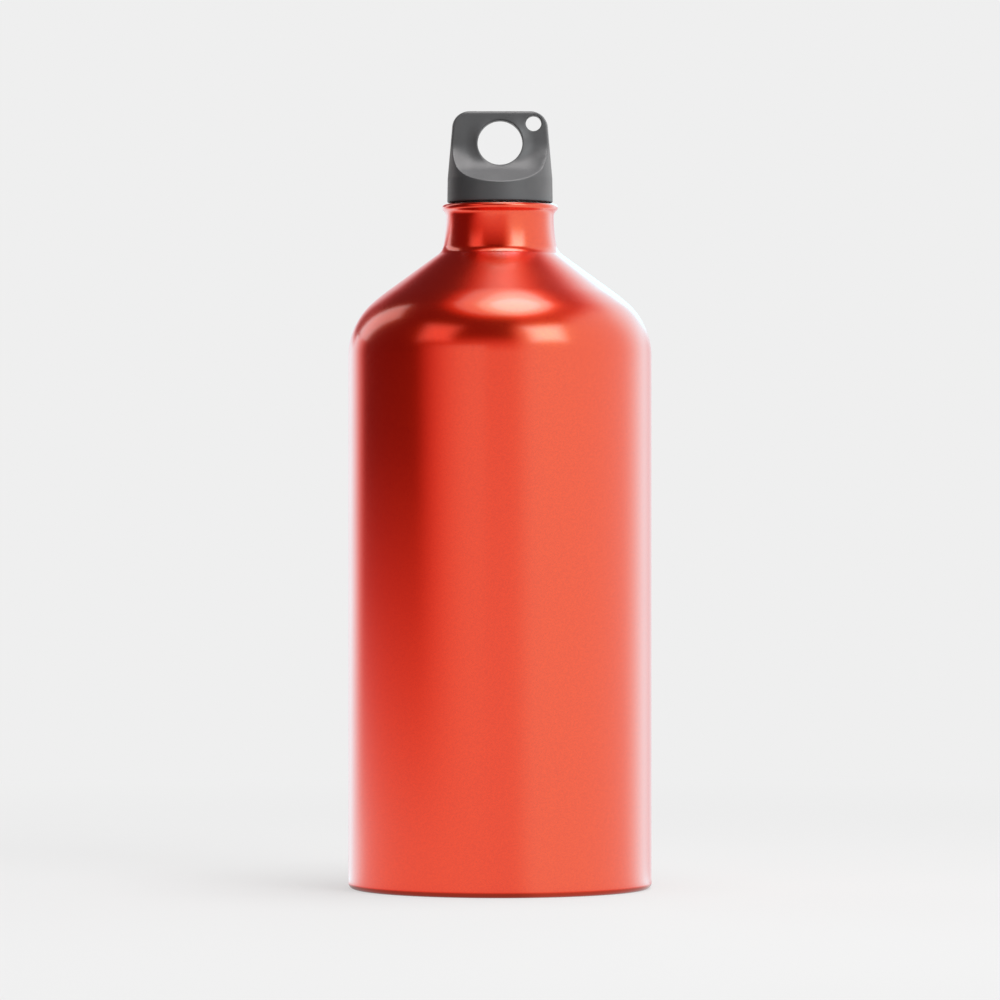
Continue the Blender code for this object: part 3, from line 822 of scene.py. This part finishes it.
# %% The base and the lip
QUARTER = math.pi / 2
foot_inner_edge = BODY_RADIUS - FOOT_EDGE_RADIUS - FOOT_WIDTH
dome_angle = 2 * math.atan(DOME_RISE / foot_inner_edge)
dome_radius = foot_inner_edge / math.sin(dome_angle) - FOOT_INNER_RADIUS
dome_centre = (0.0, DOME_RISE - dome_radius)
foot_end = 3 * QUARTER - dome_angle
foot_centre = (foot_inner_edge, FOOT_INNER_RADIUS)
edge_centre = (BODY_RADIUS - FOOT_EDGE_RADIUS, FOOT_EDGE_RADIUS)
corner_centre = (BODY_RADIUS - WALL - INNER_CORNER_RADIUS, BASE_WALL + INNER_CORNER_RADIUS)

roll_centre = (NECK_INNER + ROLL_RADIUS, ROLL_HEIGHT)
tuck_centre = (NECK_RADIUS + LIP_FILLET, NECK_TOP)
sweep_centre = (NECK_RADIUS + NECK_SWEEP, NECK_TOP)
neck_foot_centre = (
    sweep_end_r + NECK_FILLET * math.cos(NECK_SWEEP_ANGLE),
    sweep_end_z + NECK_FILLET * math.sin(NECK_SWEEP_ANGLE),
)
print("The base is domed to a radius of", round(dome_radius / MM, 1), "mm")

# %% The bottle's shell
def shoulder_line(inset):
    """The line from the side over the shoulder and up the neck, this far inside the metal."""
    turn = math.pi + NECK_SWEEP_ANGLE
    over = arc(shoulder_centre, SHOULDER_RADIUS - inset, 0.0, ease_from, ARC_STEP / 2)
    ease = arc(ease_centre, EASE_RADIUS - inset, ease_from, lean, ARC_STEP / 4)
    foot = arc(neck_foot_centre, NECK_FILLET + inset, math.pi + lean, turn, ARC_STEP / 2)
    neck = arc(sweep_centre, NECK_SWEEP + inset, turn, math.pi, ARC_STEP / 4)
    return over, ease, foot, neck


inner_line = run_together(
    arc(dome_centre, dome_radius + BASE_WALL, QUARTER, QUARTER - dome_angle),
    arc(foot_centre, FOOT_INNER_RADIUS - BASE_WALL, foot_end, 3 * QUARTER, TIGHT_STEP),
    arc(corner_centre, INNER_CORNER_RADIUS, 3 * QUARTER, 4 * QUARTER, TIGHT_STEP),
    *shoulder_line(WALL),
)
outer_lines = shoulder_line(0.0)
whole_line = run_together(
    inner_line,
    arc(roll_centre, ROLL_RADIUS, math.pi, -TUCK_ANGLE, TIGHT_STEP),
    arc(tuck_centre, LIP_FILLET, math.pi - TUCK_ANGLE, math.pi, TIGHT_STEP),
    *[line[::-1] for line in outer_lines[::-1]],
    arc(edge_centre, FOOT_EDGE_RADIUS, 0.0, -QUARTER, TIGHT_STEP),
    arc(foot_centre, FOOT_INNER_RADIUS, 3 * QUARTER, foot_end, TIGHT_STEP),
    arc(dome_centre, dome_radius, QUARTER - dome_angle, QUARTER),
)
inside_points = range(len(inner_line) + 1)
bottle = turned_piece("lacquered_bottle", whole_line, red_lacquer, food_lacquer, inside=inside_points)
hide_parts("bottle_body")
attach(bottle, "bottle")
link_lamps([bottle])

# %% [markdown]
# ## The clear tent
#
# The room has to tell what the lacquer mirrors from what the grey cap mirrors. A loose sleeve of fully clear
# film round the bottle, up to the lip, does that. A ray from the lacquer comes through it, and Light Path
# counts that. The sleeve itself draws and shades nothing.

# %% The clear tent
TENT_GAP = 3.5 * MM
TENT_ROOF_GAP = 0.25 * MM
TENT_NECK_HEIGHT = 174.0 * MM
TENT_SIDE_HEIGHT = 154.0 * MM
TENT_STEPS = 96

tree, clear_film = new_material("clear film")
add(tree, "ShaderNodeOutputMaterial", {"Surface": add(tree, "ShaderNodeBsdfTransparent")})
tent_line = (
    (NECK_RADIUS, LIP_TOP + TENT_ROOF_GAP),
    (NECK_RADIUS + TENT_GAP, LIP_TOP + TENT_ROOF_GAP),
    (NECK_RADIUS + TENT_GAP, TENT_NECK_HEIGHT),
    (BODY_RADIUS + TENT_GAP, TENT_SIDE_HEIGHT),
    (BODY_RADIUS + TENT_GAP, 0.0),
)
tent_azimuths = [360.0 * i / TENT_STEPS for i in range(TENT_STEPS + 1)]
tent = mirrored_only("clear_tent", tent_line, tent_azimuths, clear_film)

# %% [markdown]
# ## The thread
#
# Plug and ring share one screw thread: right-handed, 3.2 mm from turn to turn, with the broad flat crests
# that moulded plastic likes. The ring's groove is a little wider and deeper than the plug's thread, so one
# runs in the other. Both use the same height and pitch for their pattern, so they mesh however far the cap
# is turned.

# %% The thread's and the ring's sizes
PITCH = 3.2 * MM
FIT_GAP = 0.3 * MM
CAP_GAP = 0.48 * MM
CAP_SEAT = LIP_TOP + CAP_GAP
RING_WALL = 2.1 * MM
RING_LENGTH = 12.0 * MM
RING_LAND = 0.4 * MM
RING_LEAD = 0.6 * MM
RING_ENTRY = 0.2 * MM
SEAL_SECTION_RADIUS = 1.0 * MM
THREAD_DEPTH = 1.2 * MM
CREST_HALF = 0.45 * MM
ROOT_HALF = 1.05 * MM
FLANK_GAP = 0.2 * MM
ROOT_GAP = 0.2 * MM
THREAD_ROWS = 32
THREAD_RUNOUT = 0.9 * MM

RING_RADIUS = NECK_INNER - FIT_GAP
RING_BORE = RING_RADIUS - RING_WALL
RING_BEVEL_TOP = RING_RADIUS - RING_LAND
PLUG_RADIUS = RING_BORE - FIT_GAP
SEAL_RADIUS = PLUG_RADIUS + FIT_GAP + SEAL_SECTION_RADIUS
SEAL_HEIGHT = CAP_SEAT - FIT_GAP - SEAL_SECTION_RADIUS
RING_TOP = SEAL_HEIGHT + RING_BEVEL_TOP - SEAL_RADIUS - math.sqrt(2) * (SEAL_SECTION_RADIUS + FIT_GAP)
RING_BOTTOM = RING_TOP - RING_LENGTH
BEVEL_FOOT = RING_TOP - (RING_BEVEL_TOP - RING_BORE)
print("The clear mouth is", round(2 * RING_BORE / MM, 1), "mm wide")

# %% The threaded ring
def thread_rows(radius, low, high):
    """Points up a threaded wall, a fixed share of the pitch apart, from one pitch below its low end."""
    gap = PITCH / THREAD_ROWS
    first = math.ceil((low - PITCH) / gap)
    last = math.floor(high / gap)
    return [(radius, i * gap) for i in range(first, last + 1)]


def thread(depth, slack, low, high):
    """The turning tree's sizes for a thread, with flanks this much wider than the plug's."""
    return {
        "Pitch": PITCH,
        "Thread Depth": depth,
        "Crest Half Width": CREST_HALF + slack,
        "Root Half Width": ROOT_HALF + slack,
        "Thread Low": low,
        "Thread High": high,
        "Runout": THREAD_RUNOUT,
    }


ring_low, ring_high = RING_BOTTOM + RING_ENTRY, BEVEL_FOOT
rows_up = thread_rows(RING_BORE, ring_low, ring_high)
ring_outside = [
    (RING_BEVEL_TOP, RING_TOP),
    (RING_RADIUS, RING_TOP),
    (RING_RADIUS, RING_BOTTOM + RING_LEAD),
    (RING_RADIUS - RING_LEAD, RING_BOTTOM),
    (RING_BORE, RING_BOTTOM),
    (RING_BORE, ring_low),
]
ring = turned_piece(
    "threaded_neck_ring",
    ring_outside + rows_up + [(RING_BORE, ring_high), (RING_BEVEL_TOP, RING_TOP)],
    bare_aluminium,
    threaded=range(len(ring_outside), len(ring_outside) + len(rows_up)),
    sharp_from=THREAD_SHARP_FROM,
    sizes=thread(THREAD_DEPTH + ROOT_GAP - FIT_GAP, FLANK_GAP, ring_low, ring_high),
)
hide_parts("neck_thread_ring")
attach(ring, "bottle")

# %% [markdown]
# ## The plug
#
# The plug is a moulded cup, closed below, that hangs in the mouth. Its wall carries the thread and its flange
# is held up inside the cap. It shows when the cap is unscrewed.

# %% The plug's sizes
CAP_STEP = 0.3 * MM
SKIRT_WALL = 1.5 * MM
PLUG_DEPTH = 15.0 * MM
PLUG_WALL = 1.5 * MM
PLUG_FLOOR = 1.6 * MM
PLUG_LEAD = 1.0 * MM
FLANGE_THICKNESS = 1.6 * MM
FLANGE_EDGE = 0.3 * MM
THREAD_START = 2.7 * MM

CAP_RADIUS = NECK_RADIUS - CAP_STEP
CAVITY_RADIUS = CAP_RADIUS - SKIRT_WALL
plug_inner = PLUG_RADIUS - PLUG_WALL
flange_radius = CAVITY_RADIUS - FIT_GAP
plug_bottom = CAP_SEAT - PLUG_DEPTH
plug_low, plug_high = plug_bottom + PLUG_LEAD, CAP_SEAT - THREAD_START
print("The plug is", round(2 * PLUG_RADIUS / MM, 1), "mm wide without its thread")

# %% The plug
rows_up = thread_rows(PLUG_RADIUS, plug_low, plug_high)
cup_line = [
    (0.0, plug_bottom + PLUG_FLOOR),
    (plug_inner - PLUG_LEAD, plug_bottom + PLUG_FLOOR),
    (plug_inner, plug_bottom + PLUG_FLOOR + PLUG_LEAD),
    (plug_inner, CAP_SEAT + FLANGE_THICKNESS),
    (flange_radius - FLANGE_EDGE, CAP_SEAT + FLANGE_THICKNESS),
    (flange_radius, CAP_SEAT + FLANGE_THICKNESS - FLANGE_EDGE),
    (flange_radius, CAP_SEAT + FLANGE_EDGE),
    (flange_radius - FLANGE_EDGE, CAP_SEAT),
    (PLUG_RADIUS, CAP_SEAT),
    (PLUG_RADIUS, plug_high),
]
plug_line = cup_line + rows_up[::-1] + [
    (PLUG_RADIUS, plug_low),
    (PLUG_RADIUS - PLUG_LEAD, plug_bottom),
    (0.0, plug_bottom),
]
plug = turned_piece(
    "threaded_plug",
    plug_line,
    plug_plastic,
    threaded=range(len(cup_line), len(cup_line) + len(rows_up)),
    sharp_from=THREAD_SHARP_FROM,
    sizes=thread(THREAD_DEPTH, 0.0, plug_low, plug_high),
)
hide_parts("thread_plug")
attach(plug, "cap")

# %% [markdown]
# ## The seal
#
# The seal is a rubber ring of round section. Its profile is a closed circle, turned by the same tree.

# %% The seal
SEAL_STEP = math.radians(11.25)

seal_line = arc((SEAL_RADIUS, SEAL_HEIGHT), SEAL_SECTION_RADIUS, math.tau, 0.0, SEAL_STEP)
seal = turned_piece("silicone_seal", seal_line, silicone)
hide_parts("seal_ring")
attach(seal, "seal")

# %% [markdown]
# ## The cap
#
# The cap's outside is a round skirt that two scoops, one in front and one behind, cut away to a flat loop.
# It could be cut with Booleans, but every edge on the real one is soft. So the outside is one formula: at
# each height, how far out a point may lie inside the round outline, and how far in front of the middle plane
# inside the scooped face. The smaller of the two wins, and where they are close, the edge between them is
# rounded.

# %% The cap's sizes
CAP_HEIGHT = 24.35 * MM
SKIRT_HEIGHT = 6.4 * MM
SKIRT_DRAFT = 0.1 * MM
SKIRT_EDGE_RADIUS = 0.4 * MM
LOOP_TAPER = math.radians(5.0)
LOOP_CORNER_RADIUS = 4.4 * MM
LOOP_THICKNESS = 5.8 * MM
SCOOP_RADIUS = 9.4 * MM
SCOOP_CENTRE_HEIGHT = 16.5 * MM
SCOOP_SLOPE = math.radians(27.5)
HOLE_RADIUS = 6.0 * MM
HOLE_HEIGHT = 15.9 * MM
SWELL_HEIGHT = 1.0 * MM
SWELL_WIDTH = 3.5 * MM
SIDE_FILL = 1.7 * MM
SIDE_FILL_FROM = 7.0 * MM
SIDE_FILL_WIDTH = 5.5 * MM
SIDE_FILL_TOP = 15.8 * MM
SIDE_FILL_HEIGHT = 6.5 * MM
CORNER_HOLE_RADIUS = 2.1 * MM
CORNER_HOLE_ANGLE = math.radians(65.0)
CORNER_WEB = 1.0 * MM
EDGE_ROUND = 0.9 * MM
EDGE_BLEND = 0.4 * MM

SKIRT_TOP_RADIUS = CAP_RADIUS - SKIRT_DRAFT
CORNER_HEIGHT = CAP_HEIGHT - LOOP_CORNER_RADIUS
corner_inset = LOOP_CORNER_RADIUS + (CORNER_HEIGHT - SKIRT_HEIGHT) * math.sin(LOOP_TAPER)
CORNER_OUT = SKIRT_TOP_RADIUS - corner_inset / math.cos(LOOP_TAPER)
SCOOP_CENTRE_HALF = LOOP_THICKNESS / 2 + SCOOP_RADIUS
RAMP_TOP_HALF = SCOOP_CENTRE_HALF - SCOOP_RADIUS * math.sin(SCOOP_SLOPE)
RAMP_TOP = SCOOP_CENTRE_HEIGHT - SCOOP_RADIUS * math.cos(SCOOP_SLOPE)
print("The scoop's ramp ends", round(RAMP_TOP / MM, 2), "mm above the cap's seat")

# %% [markdown]
# ## The cap's formula
#
# The scooped face is a ramp, a fillet and a flat. It swells out a little beside the big hole, and the scoop
# is shallower towards the sides. Halving a stretch again and again finds where the surface lies in it.

# %% The cap's formula
FAR_OUT = 1.2 * CAP_RADIUS
HALVINGS = 34


def outline_radius(z):
    """Radius of the round outline at a height above the cap's seat, with the loop's rounded corners."""
    rounded_corner = CORNER_HEIGHT + LOOP_CORNER_RADIUS * math.sin(LOOP_TAPER)
    bulge = np.sqrt(np.maximum(SKIRT_EDGE_RADIUS**2 - (SKIRT_EDGE_RADIUS - z) ** 2, 0.0))
    edge = CAP_RADIUS - SKIRT_EDGE_RADIUS + bulge
    skirt = CAP_RADIUS - SKIRT_DRAFT * z / SKIRT_HEIGHT
    side = SKIRT_TOP_RADIUS - (z - SKIRT_HEIGHT) * math.tan(LOOP_TAPER)
    rise = np.clip(z - CORNER_HEIGHT, 0.0, LOOP_CORNER_RADIUS)
    corner = CORNER_OUT + np.sqrt(LOOP_CORNER_RADIUS**2 - rise**2)
    bands = [z < SKIRT_EDGE_RADIUS, z < SKIRT_HEIGHT, z < rounded_corner]
    return np.select(bands, [edge, skirt, side], corner)


def face_half(x, z):
    """Distance from the middle plane to the scooped face: ramp, fillet, flat loop, rounded top."""
    ramp = RAMP_TOP_HALF + (RAMP_TOP - z) / math.tan(SCOOP_SLOPE)
    drop = np.clip(SCOOP_CENTRE_HEIGHT - z, 0.0, SCOOP_RADIUS)
    fillet = SCOOP_CENTRE_HALF - np.sqrt(SCOOP_RADIUS**2 - drop**2)
    half = np.where(z < RAMP_TOP, ramp, fillet)
    rise = np.clip(z - (CAP_HEIGHT - EDGE_ROUND), 0.0, EDGE_ROUND)
    half = half - (EDGE_ROUND - np.sqrt(EDGE_ROUND**2 - rise**2))
    aside = np.clip((np.abs(x) - SIDE_FILL_FROM) / SIDE_FILL_WIDTH, 0.0, 1.0)
    below = np.clip((SIDE_FILL_TOP - z) / SIDE_FILL_HEIGHT, 0.0, 1.0)
    half = half + SIDE_FILL * aside**2 * below**2 * (3.0 - 2.0 * below)
    from_centre = np.maximum(np.hypot(x, z - HOLE_HEIGHT), HOLE_RADIUS / 2)
    away = np.clip((from_centre - HOLE_RADIUS) / SWELL_WIDTH, 0.0, 1.0)
    return half + SWELL_HEIGHT * (1.0 - away) ** 2 * (x / from_centre) ** 2


def inside_depth(x, y, z):
    """How deep a point lies inside the cap's outline: above 0 inside, 0 on the surface."""
    to_side = outline_radius(z) - np.hypot(x, y)
    to_face = face_half(x, z) - np.abs(y)
    share = np.maximum(EDGE_BLEND - np.abs(to_side - to_face), 0.0) / EDGE_BLEND
    return np.minimum(to_side, to_face) - share**2 * EDGE_BLEND / 4


def surface_along(function, low, high):
    """The distance at which a depth function falls to 0, for many points at once, by halving."""
    for _ in range(HALVINGS):
        middle = (low + high) / 2
        inside = function(middle) > 0.0
        low = np.where(inside, middle, low)
        high = np.where(inside, high, middle)
    return (low + high) / 2


top_radius = float(outline_radius(np.float64(CAP_HEIGHT)))
print("The loop is flat on top to", round(top_radius / MM, 2), "mm from the axis")

# %% [markdown]
# ## The cap's sections
#
# Sections are taken from the skirt's edge to the top, closer together where the surface bends. In each one
# the points are gathered where the scoop meets the round side. A window is left open in the front and in the
# back, and the next step fills it with faces that follow the two holes.

# %% The cap's grid
SIDE_STEPS = 32
FACE_STEPS = 32
GATHER = 1.4
EDGE_ANGLE_LIMIT = math.radians(84.0)
EDGE_SECTIONS = 5
CORNER_SECTIONS = 24
SIDE_GAP = 0.5 * MM
BEND_GAP = 0.11 * MM
FLAT_GAP = 0.28 * MM
BEFORE_BEND = 0.2 * MM
AFTER_BEND = 0.5 * MM
WINDOW_COLUMN = 3
WINDOW_LOW = 9.0 * MM
WINDOW_HIGH = CAP_HEIGHT - 0.6 * MM


def section_angles(z):
    """Angles of a section's points, gathered where the scoop meets the round side."""
    radius = float(outline_radius(np.float64(z)))
    edge = math.asin(min(float(face_half(CAP_RADIUS, np.float64(z))) / radius, math.sin(EDGE_ANGLE_LIMIT)))
    quarter = [edge * (1.0 - (1.0 - i / SIDE_STEPS) ** GATHER) for i in range(SIDE_STEPS)]
    for i in range(FACE_STEPS):
        along = radius * math.cos(edge) * (1.0 - (i / FACE_STEPS) ** GATHER)
        quarter.append(math.atan2(radius * math.sin(edge), along))
    half = quarter + [math.pi / 2] + [math.pi - angle for angle in quarter[:0:-1]]
    return np.array(half + [math.pi + angle for angle in half])


def spaced(low, high, gap):
    """Heights about a gap apart, from low up to but not including high."""
    count = max(1, round((high - low) / gap))
    return [low + (high - low) * i / count for i in range(count)]


ramp_foot = RAMP_TOP - (CAP_RADIUS + EDGE_BLEND - RAMP_TOP_HALF) * math.tan(SCOOP_SLOPE)
bend_low, bend_high = ramp_foot - BEFORE_BEND, RAMP_TOP + AFTER_BEND
turned = [math.pi / 2 * i / EDGE_SECTIONS for i in range(EDGE_SECTIONS)]
heights = [SKIRT_EDGE_RADIUS * (1 - math.cos(angle)) for angle in turned]
heights += spaced(SKIRT_EDGE_RADIUS, bend_low, SIDE_GAP)
heights += spaced(bend_low, bend_high, BEND_GAP)
heights += spaced(bend_high, CORNER_HEIGHT, FLAT_GAP)
turned = [math.pi / 2 * i / CORNER_SECTIONS for i in range(CORNER_SECTIONS + 1)]
heights += [CORNER_HEIGHT + LOOP_CORNER_RADIUS * math.sin(angle) for angle in turned]

grid = []
for z in heights:
    angles = section_angles(z)
    ahead, across = np.cos(angles), np.sin(angles)
    far = np.full(len(angles), FAR_OUT)
    level = np.full(len(angles), min(z, CAP_HEIGHT))
    reach = surface_along(lambda r: inside_depth(r * ahead, r * across, level), 0.0 * far, far)
    grid.append(np.stack([reach * ahead, reach * across, level], axis=1))
grid = np.array(grid)
print("The cap's grid has", grid.shape[0], "sections of", grid.shape[1], "points")

# %% [markdown]
# ## The holes in the loop
#
# A face mesh around a hole is clean only if its points lie in rings round it. Inside each window the points
# are such rings, thinning out into the grid's own points, and Blender's Delaunay function joins them up.
# Every point then gets its height from the cap's formula, so the window fits the grid round it without a
# seam. The holes' edges are rounded by a few more rings, and their walls run straight through from the front
# to the back.

# %% Rings round the holes
RIM_ROUND = 0.45 * MM
CORNER_RIM_ROUND = 0.30 * MM
RIM_STEPS = 5
RING_GAP = 0.30 * MM
RING_COUNT = 4
HOLE_POINTS = 144
CORNER_HOLE_POINTS = 64

corner_reach = LOOP_CORNER_RADIUS - CORNER_WEB - CORNER_HOLE_RADIUS
corner_hole_x = CORNER_OUT + corner_reach * math.cos(CORNER_HOLE_ANGLE)
corner_hole_z = CORNER_HEIGHT + corner_reach * math.sin(CORNER_HOLE_ANGLE)
Hole = namedtuple("Hole", "x z radius rim points rings")
HOLES = (
    Hole(0.0, HOLE_HEIGHT, HOLE_RADIUS, RIM_ROUND, HOLE_POINTS, RING_COUNT),
    Hole(corner_hole_x, corner_hole_z, CORNER_HOLE_RADIUS, CORNER_RIM_ROUND, CORNER_HOLE_POINTS, 0),
)
print("The corner hole is at", round(corner_hole_x / MM, 2), "and", round(corner_hole_z / MM, 2), "mm")


def circle(hole, radius):
    """Points on a circle round a hole, in the plane of the loop."""
    turns = np.arange(hole.points) * math.tau / hole.points
    return np.stack([hole.x + radius * np.cos(turns), hole.z + radius * np.sin(turns)], axis=1)


def face_height(points):
    """Distance of the cap's surface from the middle plane, at points (x, z) of that plane."""
    x, z = points[:, 0], points[:, 1]
    return surface_along(lambda y: inside_depth(x, y, z), 0.0 * x, np.full(len(x), FAR_OUT))


def from_hole(points, hole):
    """Distances of points from the middle of a hole."""
    return np.hypot(points[:, 0] - hole.x, points[:, 1] - hole.z)


def within(points, outline):
    """True for the points that lie inside a closed outline."""
    inside = np.zeros(len(points), bool)
    for (x0, z0), (x1, z1) in zip(outline, np.roll(outline, -1, axis=0)):
        if z0 == z1:
            continue
        crosses = (z0 > points[:, 1]) != (z1 > points[:, 1])
        at = x0 + (points[:, 1] - z0) * (x1 - x0) / (z1 - z0)
        inside ^= crosses & (points[:, 0] < at)
    return inside


# %% [markdown]
# ## Filling the windows
#
# A window's edge and most of its points are the grid's own. Only near a hole rings take their place. Both
# windows are alike, so this is done once, flat, and triangles inside a hole are thrown out.

# %% The points of a window
LAST_RING_SHARE = 0.6
GRID_CLEARANCE = 0.08 * MM
RING_CLEARANCE = 0.12 * MM
TOLERANCE_MM = 1e-6

first_row = next(i for i, z in enumerate(heights) if z > WINDOW_LOW) - 1
last_row = next(i for i, z in enumerate(heights) if z > WINDOW_HIGH)
half_turn = grid.shape[1] // 2
left_column = half_turn + SIDE_STEPS + WINDOW_COLUMN
right_column = 2 * half_turn - SIDE_STEPS - WINDOW_COLUMN

frame_indices = [(first_row, c) for c in range(left_column, right_column)]
frame_indices += [(r, right_column) for r in range(first_row, last_row)]
frame_indices += [(last_row, c) for c in range(right_column, left_column, -1)]
frame_indices += [(r, left_column) for r in range(last_row, first_row, -1)]
window_edge = np.array([grid[r, c][[0, 2]] for r, c in frame_indices])

inner = grid[first_row + 1 : last_row, left_column + 1 : right_column][:, :, [0, 2]].reshape(-1, 2)
loose = []
for hole in HOLES:
    clear = hole.radius + hole.rim + (hole.rings + LAST_RING_SHARE) * RING_GAP
    if not hole.rings:
        clear = hole.radius + hole.rim + GRID_CLEARANCE
    inner = inner[from_hole(inner, hole) > clear]
    for i in range(1, hole.rings + 1):
        loose.append(circle(hole, hole.radius + hole.rim + i * RING_GAP))
small = HOLES[1]
clear = small.radius + small.rim + RING_CLEARANCE
loose = [ring[from_hole(ring, small) > clear] for ring in loose]
rims = [circle(hole, hole.radius + hole.rim) for hole in HOLES]

print("A window spans", last_row - first_row, "rows and", right_column - left_column, "columns")

# %% Fill the windows
fixed = [window_edge, *rims]
flat = np.concatenate(fixed + [np.concatenate(loose), inner])
edges = []
start = 0
for run in fixed:
    edges += [(start + i, start + (i + 1) % len(run)) for i in range(len(run))]
    start += len(run)
made = delaunay_2d_cdt([Vector(p / MM) for p in flat], edges, [], 0, TOLERANCE_MM, True)
points_mm, _, faces, origins_of = made[:4]
flat_points = np.array([tuple(p) for p in points_mm]) * MM
triangles = np.array(faces)
middles = flat_points[triangles].mean(axis=1)
keep = within(middles, window_edge)
for rim in rims:
    keep &= ~within(middles, rim)
triangles = triangles[keep]
source = {}
for i, origins in enumerate(origins_of):
    for origin in origins:
        source[origin] = i
print("Each window has", len(flat_points), "points and", len(triangles), "triangles")

# %% [markdown]
# ## Building the cap
#
# The outside is the grid without its windows, then the windows, which share the grid's points at their edges.
# The holes' rims turn inwards in rings, and a band of faces joins each front rim to its back rim. A last ring
# close behind a rim keeps the smooth shading from leaning over the hole's wall.

# %% The grid without its windows
shape = bmesh.new()
lift = np.array([0.0, 0.0, CAP_SEAT])
columns = grid.shape[1]
back_left, back_right = 2 * half_turn - right_column, 2 * half_turn - left_column


def hidden(r, c):
    """True for a grid point that lies inside one of the two windows."""
    return first_row < r < last_row and (left_column < c < right_column or back_left < c < back_right)


def in_window(r, c):
    """True for a face of the grid that one of the two windows takes the place of."""
    return first_row <= r < last_row and (left_column <= c < right_column or back_left <= c < back_right)


rows = [[None] * columns for _ in heights]
for r in range(len(heights)):
    for c in range(columns):
        if not hidden(r, c):
            rows[r][c] = shape.verts.new(grid[r, c] + lift)
for r in range(len(heights) - 1):
    for c in range(columns):
        d = (c + 1) % columns
        if not in_window(r, c):
            shape.faces.new((rows[r][c], rows[r][d], rows[r + 1][d], rows[r + 1][c]))
shape.faces.new(rows[-1])
print("The grid without its windows has", len(shape.faces), "faces")


# %% Windows and hole walls
def bridge(low, high):
    """A band of faces between two rings of as many points."""
    for i in range(len(low)):
        j = (i + 1) % len(low)
        shape.faces.new((low[i], low[j], high[j], high[i]))


heights_out = face_height(flat_points)
hole_rings = []
for side in (-1, 1):
    known = {}
    for number, (r, c) in enumerate(frame_indices):
        known[source[number]] = rows[r][c if side < 0 else 2 * half_turn - c]
    corners = []
    for i, (x, z) in enumerate(flat_points):
        corners.append(known.get(i) or shape.verts.new(lift + (x, side * heights_out[i], z)))
    for a, b, c in triangles:
        shape.faces.new((corners[a], corners[b], corners[c]))
    start = len(window_edge)
    for hole, rim in zip(HOLES, rims):
        rings = [[corners[source[start + i]] for i in range(len(rim))]]
        start += len(rim)
        for step in range(1, RIM_STEPS + 1):
            t = math.pi / 2 * step / RIM_STEPS
            points = circle(hole, hole.radius + hole.rim * (1 - math.sin(t)))
            out = face_height(points) - hole.rim * (1 - math.cos(t))
            rings.append([shape.verts.new(lift + (x, side * y, z)) for (x, z), y in zip(points, out)])
        guard = [shape.verts.new(v.co - Vector((0.0, side * GUARD, 0.0))) for v in rings[-1]]
        rings.append(guard)
        hole_rings.append(rings)
        for low, high in zip(rings, rings[1:]):
            bridge(low, high)
for front_rings, back_rings in zip(hole_rings[: len(HOLES)], hole_rings[len(HOLES) :]):
    bridge(front_rings[-1], back_rings[-1])
print("With its windows and holes the outside has", len(shape.faces), "faces")

# %% [markdown]
# ## The inside of the cap
#
# The skirt is hollow and has a small ledge that the plug's flange is welded to. Above it the wall leans in
# under the ramps to a small ceiling, so that the plastic is about as thick all over.

# %% Hollow out the cap
CEILING_WALL = 1.6 * MM
CORE_RADIUS = 5.0 * MM
WELD_LEDGE = 0.7 * MM

weld_wall = CAVITY_RADIUS - WELD_LEDGE
ledge = FLANGE_THICKNESS + FIT_GAP
ceiling = RAMP_TOP - CEILING_WALL / math.cos(SCOOP_SLOPE)
wall_top = ceiling - (weld_wall - RAMP_TOP_HALF) * math.tan(SCOOP_SLOPE)
core_top = ceiling + (RAMP_TOP_HALF - CORE_RADIUS) * math.tan(SCOOP_SLOPE)
core_top = min(core_top, HOLE_HEIGHT - HOLE_RADIUS - CEILING_WALL)
angles = section_angles(0.0)
last = rows[0]
for radius, z in (
    (CAVITY_RADIUS, 0.0),
    (CAVITY_RADIUS, ledge),
    (weld_wall, ledge),
    (weld_wall, wall_top),
    (CORE_RADIUS, core_top),
):
    ring = [shape.verts.new(lift + (radius * math.cos(a), radius * math.sin(a), z)) for a in angles]
    bridge(last, ring)
    last = ring
shape.faces.new(last)
bmesh.ops.recalc_face_normals(shape, faces=shape.faces)

cap_mesh = bpy.data.meshes.new("scooped cap")
shape.to_mesh(cap_mesh)
shape.free()
cap_mesh.materials.append(cap_plastic)
cap = finished("scooped_cap", cap_mesh)
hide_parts("cap_shell")
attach(cap, "cap")

# %% [markdown]
# ## The last step
#
# The fine pieces should fill the same box as the imported model. The scene's view layer is brought up to
# date.

# %% Bring the scene up to date
bpy.context.view_layer.update()
